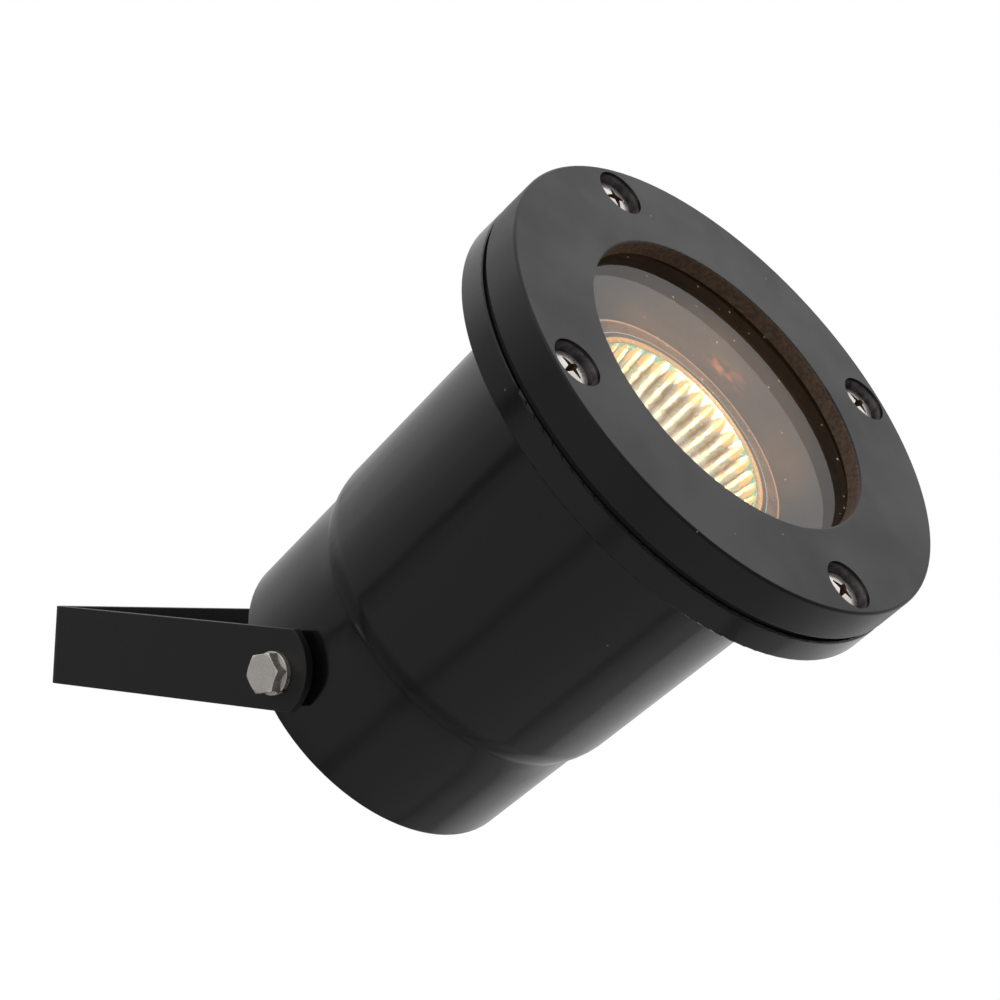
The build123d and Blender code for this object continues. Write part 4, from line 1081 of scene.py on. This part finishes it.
class PONDLIGHT_OT_barrel(Operator):
    """Barrel and flange, with the threaded inserts moulded into them"""

    bl_idname = "pond_light.barrel"
    bl_label = "Barrel"
    bl_options = {"REGISTER", "UNDO"}

    def execute(self, context):
        dress("housing", "ring_inserts", "pivot_inserts")
        return {"FINISHED"}


class PONDLIGHT_OT_front_ring(Operator):
    """Front ring and the three seals behind it"""

    bl_idname = "pond_light.front_ring"
    bl_label = "Front Ring and Seals"
    bl_options = {"REGISTER", "UNDO"}

    def execute(self, context):
        dress("clamp_ring", "lens_gasket", "front_gasket", "flange_gasket")
        return {"FINISHED"}


class PONDLIGHT_OT_lens(Operator):
    """Front lens, a flat round glass with ground edges"""

    bl_idname = "pond_light.lens"
    bl_label = "Lens"
    bl_options = {"REGISTER", "UNDO"}

    def execute(self, context):
        bevel = 0.3 * MM
        points = [
            (0.0, LENS_BACK),
            (LENS_RADIUS - bevel, LENS_BACK),
            (LENS_RADIUS, LENS_BACK + bevel),
            (LENS_RADIUS, LENS_FRONT - bevel),
            (LENS_RADIUS - bevel, LENS_FRONT),
            (0.0, LENS_FRONT),
        ]
        mesh = turned_mesh(points, 160, "lens_glass", HEAD_TO_ROW)
        place_piece("lens", mesh, HEAD, "lens_glass", ["glass_lens"])
        return {"FINISHED"}


class PONDLIGHT_OT_ring_screws(Operator):
    """Four pan head screws of the front ring"""

    bl_idname = "pond_light.ring_screws"
    bl_label = "Ring Screws"
    bl_options = {"REGISTER", "UNDO"}

    def execute(self, context):
        size = sizes()
        tree = build_screw_circle()
        inputs = {"Circle Radius": SCREW_REACH - size.screw_head_radius,
                  "Height": SCREW_TOP - size.screw_head_height, "Material": finish("stainless")}
        inputs.update({f"Turn {k + 1}": math.radians(turn) for k, turn in enumerate(CROSS_TURNS)})
        mesh = close_up(grown_mesh(ring_screw_mesh(size), tree, inputs), HEAD_TO_ROW)
        place_piece("ring_screws_finished", eased_mesh(mesh), HEAD, "stainless", ["ring_screws"])
        return {"FINISHED"}


class PONDLIGHT_OT_reflector(Operator):
    """Pressed reflector bowl with its flutes, rim and neck"""

    bl_idname = "pond_light.reflector"
    bl_label = "Reflector"
    bl_options = {"REGISTER", "UNDO"}

    def execute(self, context):
        size = sizes()
        steps = 44
        rounding = 0.4 * MM
        cover_room = COVER_RADIUS + 0.05 * MM

        def bowl(depth):
            return size.mouth_radius * math.sqrt(1 - (depth / size.bowl_depth) ** 2)

        neck_top = COVER_BACK - size.bowl_cut
        depths = [size.bowl_cut * math.sin(math.pi / 2 * k / steps) for k in range(steps + 1)]
        behind_rim = [depth for depth in reversed(depths) if depth > size.rim_thickness]
        inner = [(bowl(depth), COVER_BACK - depth) for depth in depths]
        outer = [(bowl(depth) + size.bowl_wall, COVER_BACK - depth) for depth in behind_rim]
        points = [(cover_room, LAMP_FRONT), (cover_room, COVER_BACK)]
        points += inner
        points += [(size.neck_bore, neck_top), (size.neck_bore, NECK_END), (size.neck_radius, NECK_END)]
        points += outer
        rim_back = LAMP_FRONT - size.rim_thickness
        rim_round = RIM_RADIUS - rounding
        points += [(bowl(size.rim_thickness) + size.bowl_wall, rim_back), (rim_round, rim_back)]
        points += arc_points(rim_round, rim_back + rounding, rounding, -90, 0, 4)
        points += arc_points(rim_round, LAMP_FRONT - rounding, rounding, 0, 90, 4)
        points.append(points[0])
        fluted = range(2, 2 + len(inner))
        flutes = {"Flutes": size.flute_count, "Flute Depth": size.flute_depth,
                  "Mouth Radius": size.mouth_radius, "Mouth Height": COVER_BACK}
        steps_round = size.flute_count * 14
        mesh = turned_mesh(points, steps_round, "reflector_coating", HEAD_TO_ROW, fluted, **flutes)
        place_piece("reflector_bowl", mesh, HEAD, "reflector_coating", ["lamp_reflector"])
        return {"FINISHED"}


class PONDLIGHT_OT_lamp_glass(Operator):
    """The lamp's front glass, and its quartz capsule with the filament"""

    bl_idname = "pond_light.lamp_glass"
    bl_label = "Lamp Glass and Capsule"
    bl_options = {"REGISTER", "UNDO"}

    def execute(self, context):
        dress("lamp_cover_glass", "lamp_capsule")
        size = sizes()
        _, foot, top = head_extent("lamp_filament")
        axis_height = top - size.coil_radius
        coil = size.coil_radius - size.wire_radius
        heights = (-coil, foot - axis_height)
        ends = [(side * size.coil_length / 2, 0.0, height) for side in (-1, 1) for height in heights]
        legs = bpy.data.meshes.new("legs")
        legs.from_pydata(ends, [(0, 1), (2, 3)], [])
        inputs = {"Turns": size.coil_turns, "Coil Radius": coil, "Coil Length": size.coil_length,
                  "Wire Radius": size.wire_radius, "Material": finish("tungsten")}
        mesh = grown_mesh(legs, build_filament(), inputs)
        close_up(mesh, HEAD_TO_ROW @ Matrix.Translation((0.0, 0.0, axis_height)))
        place_piece("filament_coil", mesh, HEAD, "tungsten", ["lamp_filament"])
        return {"FINISHED"}


class PONDLIGHT_OT_lamp_foot(Operator):
    """Ceramic foot of the lamp, its pins, and the socket with its contacts"""

    bl_idname = "pond_light.lamp_foot"
    bl_label = "Lamp Foot and Socket"
    bl_options = {"REGISTER", "UNDO"}

    def execute(self, context):
        dress("lamp_base", "lamp_pins", "lamp_socket", "socket_contacts")
        return {"FINISHED"}


class PONDLIGHT_OT_cradle(Operator):
    """Seat ring, the strap that carries it and the small screws"""

    bl_idname = "pond_light.cradle"
    bl_label = "Seat Ring and Cradle"
    bl_options = {"REGISTER", "UNDO"}

    def execute(self, context):
        dress("lamp_seat_ring", "lamp_cradle", "cradle_screws", "socket_screws")
        return {"FINISHED"}


class PONDLIGHT_OT_leads(Operator):
    """Two leads and their splices"""

    bl_idname = "pond_light.leads"
    bl_label = "Leads"
    bl_options = {"REGISTER", "UNDO"}

    def execute(self, context):
        dress("lead_wires", "wire_splices")
        return {"FINISHED"}


class PONDLIGHT_OT_gland(Operator):
    """Cable gland through the rear wall"""

    bl_idname = "pond_light.gland"
    bl_label = "Cable Gland"
    bl_options = {"REGISTER", "UNDO"}

    def execute(self, context):
        dress("gland_body", "gland_washer", "gland_locknut", "gland_seal", "gland_cap")
        return {"FINISHED"}


class PONDLIGHT_OT_bracket(Operator):
    """Bent strip that holds the head"""

    bl_idname = "pond_light.bracket"
    bl_label = "Bracket"
    bl_options = {"REGISTER", "UNDO"}

    def execute(self, context):
        dress("bracket", body=BRACKET, edge=sizes().strip_edge)
        return {"FINISHED"}


class PONDLIGHT_OT_pivot(Operator):
    """Pivot bolts, their split washers and the friction washers"""

    bl_idname = "pond_light.pivot"
    bl_label = "Pivot Hardware"
    bl_options = {"REGISTER", "UNDO"}

    def execute(self, context):
        dress("pivot_bolts", "pivot_lock_washers", edge=sizes().bolt_edge)
        dress("pivot_spacers")
        return {"FINISHED"}


class PONDLIGHT_OT_stage(Operator):
    """Camera, soft light, white surroundings and floor"""

    bl_idname = "pond_light.stage"
    bl_label = "Stage"
    bl_options = {"REGISTER", "UNDO"}

    def execute(self, context):
        settings = bpy.context.scene.pond_light_stage
        set_up_camera(settings)
        set_up_surroundings()
        set_up_floor(settings)
        add_soft_light("key_light", KEY_PLACE, settings.key_power)
        add_soft_light("fill_light", FILL_PLACE, settings.fill_power)
        bpy.context.scene.view_settings.view_transform = "Standard"
        return {"FINISHED"}


def set_up_camera(settings):
    """The photograph's viewing angle."""
    lens = bpy.data.cameras.new("photo_camera")
    lens.sensor_width = 36.0
    lens.lens = settings.focal_length
    lens.clip_start = 0.01
    lens.clip_end = 20.0
    camera = new_object("photo_camera", lens)
    camera.location = PIVOT + Vector(settings.camera_place)
    look = Vector(settings.camera_aim) - Vector(settings.camera_place)
    camera.rotation_mode = "QUATERNION"
    roll = Quaternion((0.0, 0.0, 1.0), settings.camera_roll)
    camera.rotation_quaternion = look.to_track_quat("-Z", "Y") @ roll
    bpy.context.scene.camera = camera


# Places of the two soft lights and the length of their sides, in metres
KEY_PLACE, FILL_PLACE = (-0.55, -0.55, 0.75), (0.75, -0.35, 0.35)
SOFT_LIGHT_SIDE = 0.9

# Light of the studio as the object sees it, where a strength of 1 is white: the least, the
# backdrop's, and what the ceiling adds
STUDIO_DIM, STUDIO_BRIGHT, STUDIO_TOP = 0.37, 0.77, 0.36

# The direction to the backdrop, and how light changes with direction: between which two parts of
# a unit vector, and from and to which share of the light
BACKDROP_SIDE = (-0.643, 0.766, 0.0)
TOWARD_BACKDROP = (-0.1, 0.95, 0.0, 1.0)
TOWARD_FLOOR = (0.0, 0.2, 1.0, 0.0)
BESIDE_WALL = (0.35, 0.75, 1.0, 0.0)
LEFT_SIDE = (-0.8, -0.2, 0.6, 1.0)
FAR_SIDE = (-0.2, 0.3, 1.1, 0.6)
CEILING = (0.3, 0.6, 0.0, STUDIO_TOP)
RIGHT_SIDE = (0.36, 0.58, 1.0, 0.5)
BEHIND_LIGHT = (-0.85, -0.6, 0.5, 1.0)

# Dark stands and window bars round the studio, as the barrel mirrors them: angle round
# the light's axis and width in degrees, and the share of light that each takes away
STUDIO_BARS = (
    (242.0, 7.0, 0.72),
    (251.0, 3.0, 0.2),
    (309.0, 8.0, 0.4),
    (17.5, 5.0, 0.5),
    (42.5, 6.0, 0.45),
)

# How far the bars' edges wander, in radians
BAR_WANDER = 0.3


def set_up_surroundings():
    """White to the camera. Toward the object, a bright backdrop and ceiling and a dimmer near side."""
    world = bpy.data.worlds.new("studio")
    bpy.context.scene.world = world
    world.use_nodes = True
    tree = world.node_tree
    tree.nodes.clear()
    toward = add_node(tree, "ShaderNodeTexCoord").outputs["Generated"]
    behind = vector_calc(tree, "DOT_PRODUCT", toward, BACKDROP_SIDE)
    parts = add_node(tree, "ShaderNodeSeparateXYZ", {0: toward}).outputs
    shaded = product(tree, remap(tree, parts["Z"], *TOWARD_FLOOR), remap(tree, parts["Y"], *BESIDE_WALL))
    open_share = calc(tree, "SUBTRACT", 1.0, shaded)
    left, far = remap(tree, parts["X"], *LEFT_SIDE), remap(tree, parts["Y"], *FAR_SIDE)
    facing = remap(tree, behind, *TOWARD_BACKDROP)
    lit = product(tree, facing, open_share, calc(tree, "MAXIMUM", left, far))
    level = calc(tree, "MULTIPLY_ADD", lit, STUDIO_BRIGHT - STUDIO_DIM, STUDIO_DIM)
    level = calc(tree, "ADD", level, remap(tree, parts["Z"], *CEILING))
    level = product(tree, level, remap(tree, parts["X"], *RIGHT_SIDE))
    round_axis = add_node(tree, "ShaderNodeVectorRotate", {"Vector": toward, "Angle": -HEAD_TURN},
                          rotation_type="Y_AXIS").outputs[0]
    across = add_node(tree, "ShaderNodeSeparateXYZ", {0: round_axis}).outputs
    level = product(tree, level, remap(tree, across["Z"], *BEHIND_LIGHT))
    wave = calc(tree, "MULTIPLY_ADD", noise(tree, toward, 9.0, 3.0), BAR_WANDER, -BAR_WANDER / 2)
    angle = calc(tree, "ADD", calc(tree, "ARCTAN2", across["Y"], across["X"]), wave)
    for place, width, share in STUDIO_BARS:
        off = calc(tree, "PINGPONG", calc(tree, "SUBTRACT", angle, math.radians(place)), math.pi)
        level = product(tree, level, remap(tree, off, 0.0, math.radians(width), 1.0 - share, 1.0))
    white = (1.0, 1.0, 1.0, 1.0)
    studio = add_node(tree, "ShaderNodeBackground", {"Color": white, "Strength": level}).outputs[0]
    backdrop = add_node(tree, "ShaderNodeBackground", {"Color": white, "Strength": 1.0}).outputs[0]
    rays = add_node(tree, "ShaderNodeLightPath").outputs
    bounces = calc(tree, "ADD", rays["Glossy Depth"], rays["Diffuse Depth"])
    straight = product(tree, rays["Is Transmission Ray"], calc(tree, "LESS_THAN", bounces, 0.5))
    seen = calc(tree, "MAXIMUM", rays["Is Camera Ray"], straight)
    mixed = add_node(tree, "ShaderNodeMixShader", {0: seen, 1: studio, 2: backdrop}).outputs[0]
    add_node(tree, "ShaderNodeOutputWorld", {"Surface": mixed})


def set_up_floor(settings):
    """Round white floor that fades out into the white surroundings."""
    radius = 0.7
    shape = bmesh.new()
    bmesh.ops.create_circle(shape, cap_ends=True, segments=96, radius=radius)
    mesh = bpy.data.meshes.new("floor")
    shape.to_mesh(mesh)
    shape.free()
    mesh.transform(Matrix.Translation((PIVOT.x, 0.0, PIVOT.z - settings.floor_drop)))
    floor = new_object("floor", mesh)
    material = bpy.data.materials.new("white_floor")
    material.use_nodes = True
    tree = material.node_tree
    shader = tree.nodes["Principled BSDF"]
    shader.inputs["Base Color"].default_value = (0.9, 0.9, 0.9, 1.0)
    shader.inputs["Roughness"].default_value = 0.8
    place = add_node(tree, "ShaderNodeTexCoord").outputs["Object"]
    inputs = {"Vector": place, "Location": (-PIVOT.x, 0.0, 0.0), "Scale": (1.0, 1.0, 0.0)}
    flat = add_node(tree, "ShaderNodeMapping", inputs).outputs[0]
    fade = remap(tree, vector_calc(tree, "LENGTH", flat), radius * 0.3, radius * 0.95, 1.0, 0.0)
    mirrored = add_node(tree, "ShaderNodeLightPath").outputs["Is Glossy Ray"]
    feed(tree, shader.inputs["Alpha"], product(tree, fade, calc(tree, "SUBTRACT", 1.0, mirrored)))
    mesh.materials.append(material)


def add_soft_light(name, place, power):
    """A large square lamp that points at the head and leaves no highlight of its own."""
    lamp = bpy.data.lights.new(name, "AREA")
    lamp.size = SOFT_LIGHT_SIDE
    lamp.energy = power
    light = new_object(name, lamp)
    light.location = place
    light.rotation_mode = "QUATERNION"
    light.rotation_quaternion = (PIVOT - Vector(place)).to_track_quat("-Z", "Y")
    light.visible_glossy = False


OPERATORS = (
    PONDLIGHT_OT_barrel,
    PONDLIGHT_OT_front_ring,
    PONDLIGHT_OT_lens,
    PONDLIGHT_OT_ring_screws,
    PONDLIGHT_OT_reflector,
    PONDLIGHT_OT_lamp_glass,
    PONDLIGHT_OT_lamp_foot,
    PONDLIGHT_OT_cradle,
    PONDLIGHT_OT_leads,
    PONDLIGHT_OT_gland,
    PONDLIGHT_OT_bracket,
    PONDLIGHT_OT_pivot,
    PONDLIGHT_OT_stage,
)


class PONDLIGHT_PT_panel(Panel):
    """Buttons that build the pond light"""

    bl_idname = "PONDLIGHT_PT_panel"
    bl_label = "Pond Light"
    bl_space_type = "VIEW_3D"
    bl_region_type = "UI"
    bl_category = "Pond Light"

    def draw(self, context):
        for operator in OPERATORS:
            self.layout.operator(operator.bl_idname)


SETTINGS = {
    "pond_light_sizes": PondLightSizes,
    "pond_light_colours": PondLightColours,
    "pond_light_stage": PondLightStage,
}


def register():
    for settings in SETTINGS.values():
        bpy.utils.register_class(settings)
    for name, settings in SETTINGS.items():
        setattr(bpy.types.Scene, name, PointerProperty(type=settings))
    for cls in (*OPERATORS, PONDLIGHT_PT_panel):
        bpy.utils.register_class(cls)


def unregister():
    for cls in reversed((*OPERATORS, PONDLIGHT_PT_panel)):
        bpy.utils.unregister_class(cls)
    for name, settings in SETTINGS.items():
        delattr(bpy.types.Scene, name)
        bpy.utils.unregister_class(settings)


def main():
    """Builds every piece in order."""
    register()
    for operator in OPERATORS:
        group, action = operator.bl_idname.split(".")
        getattr(getattr(bpy.ops, group), action)()


if __name__ == "__main__":
    main()
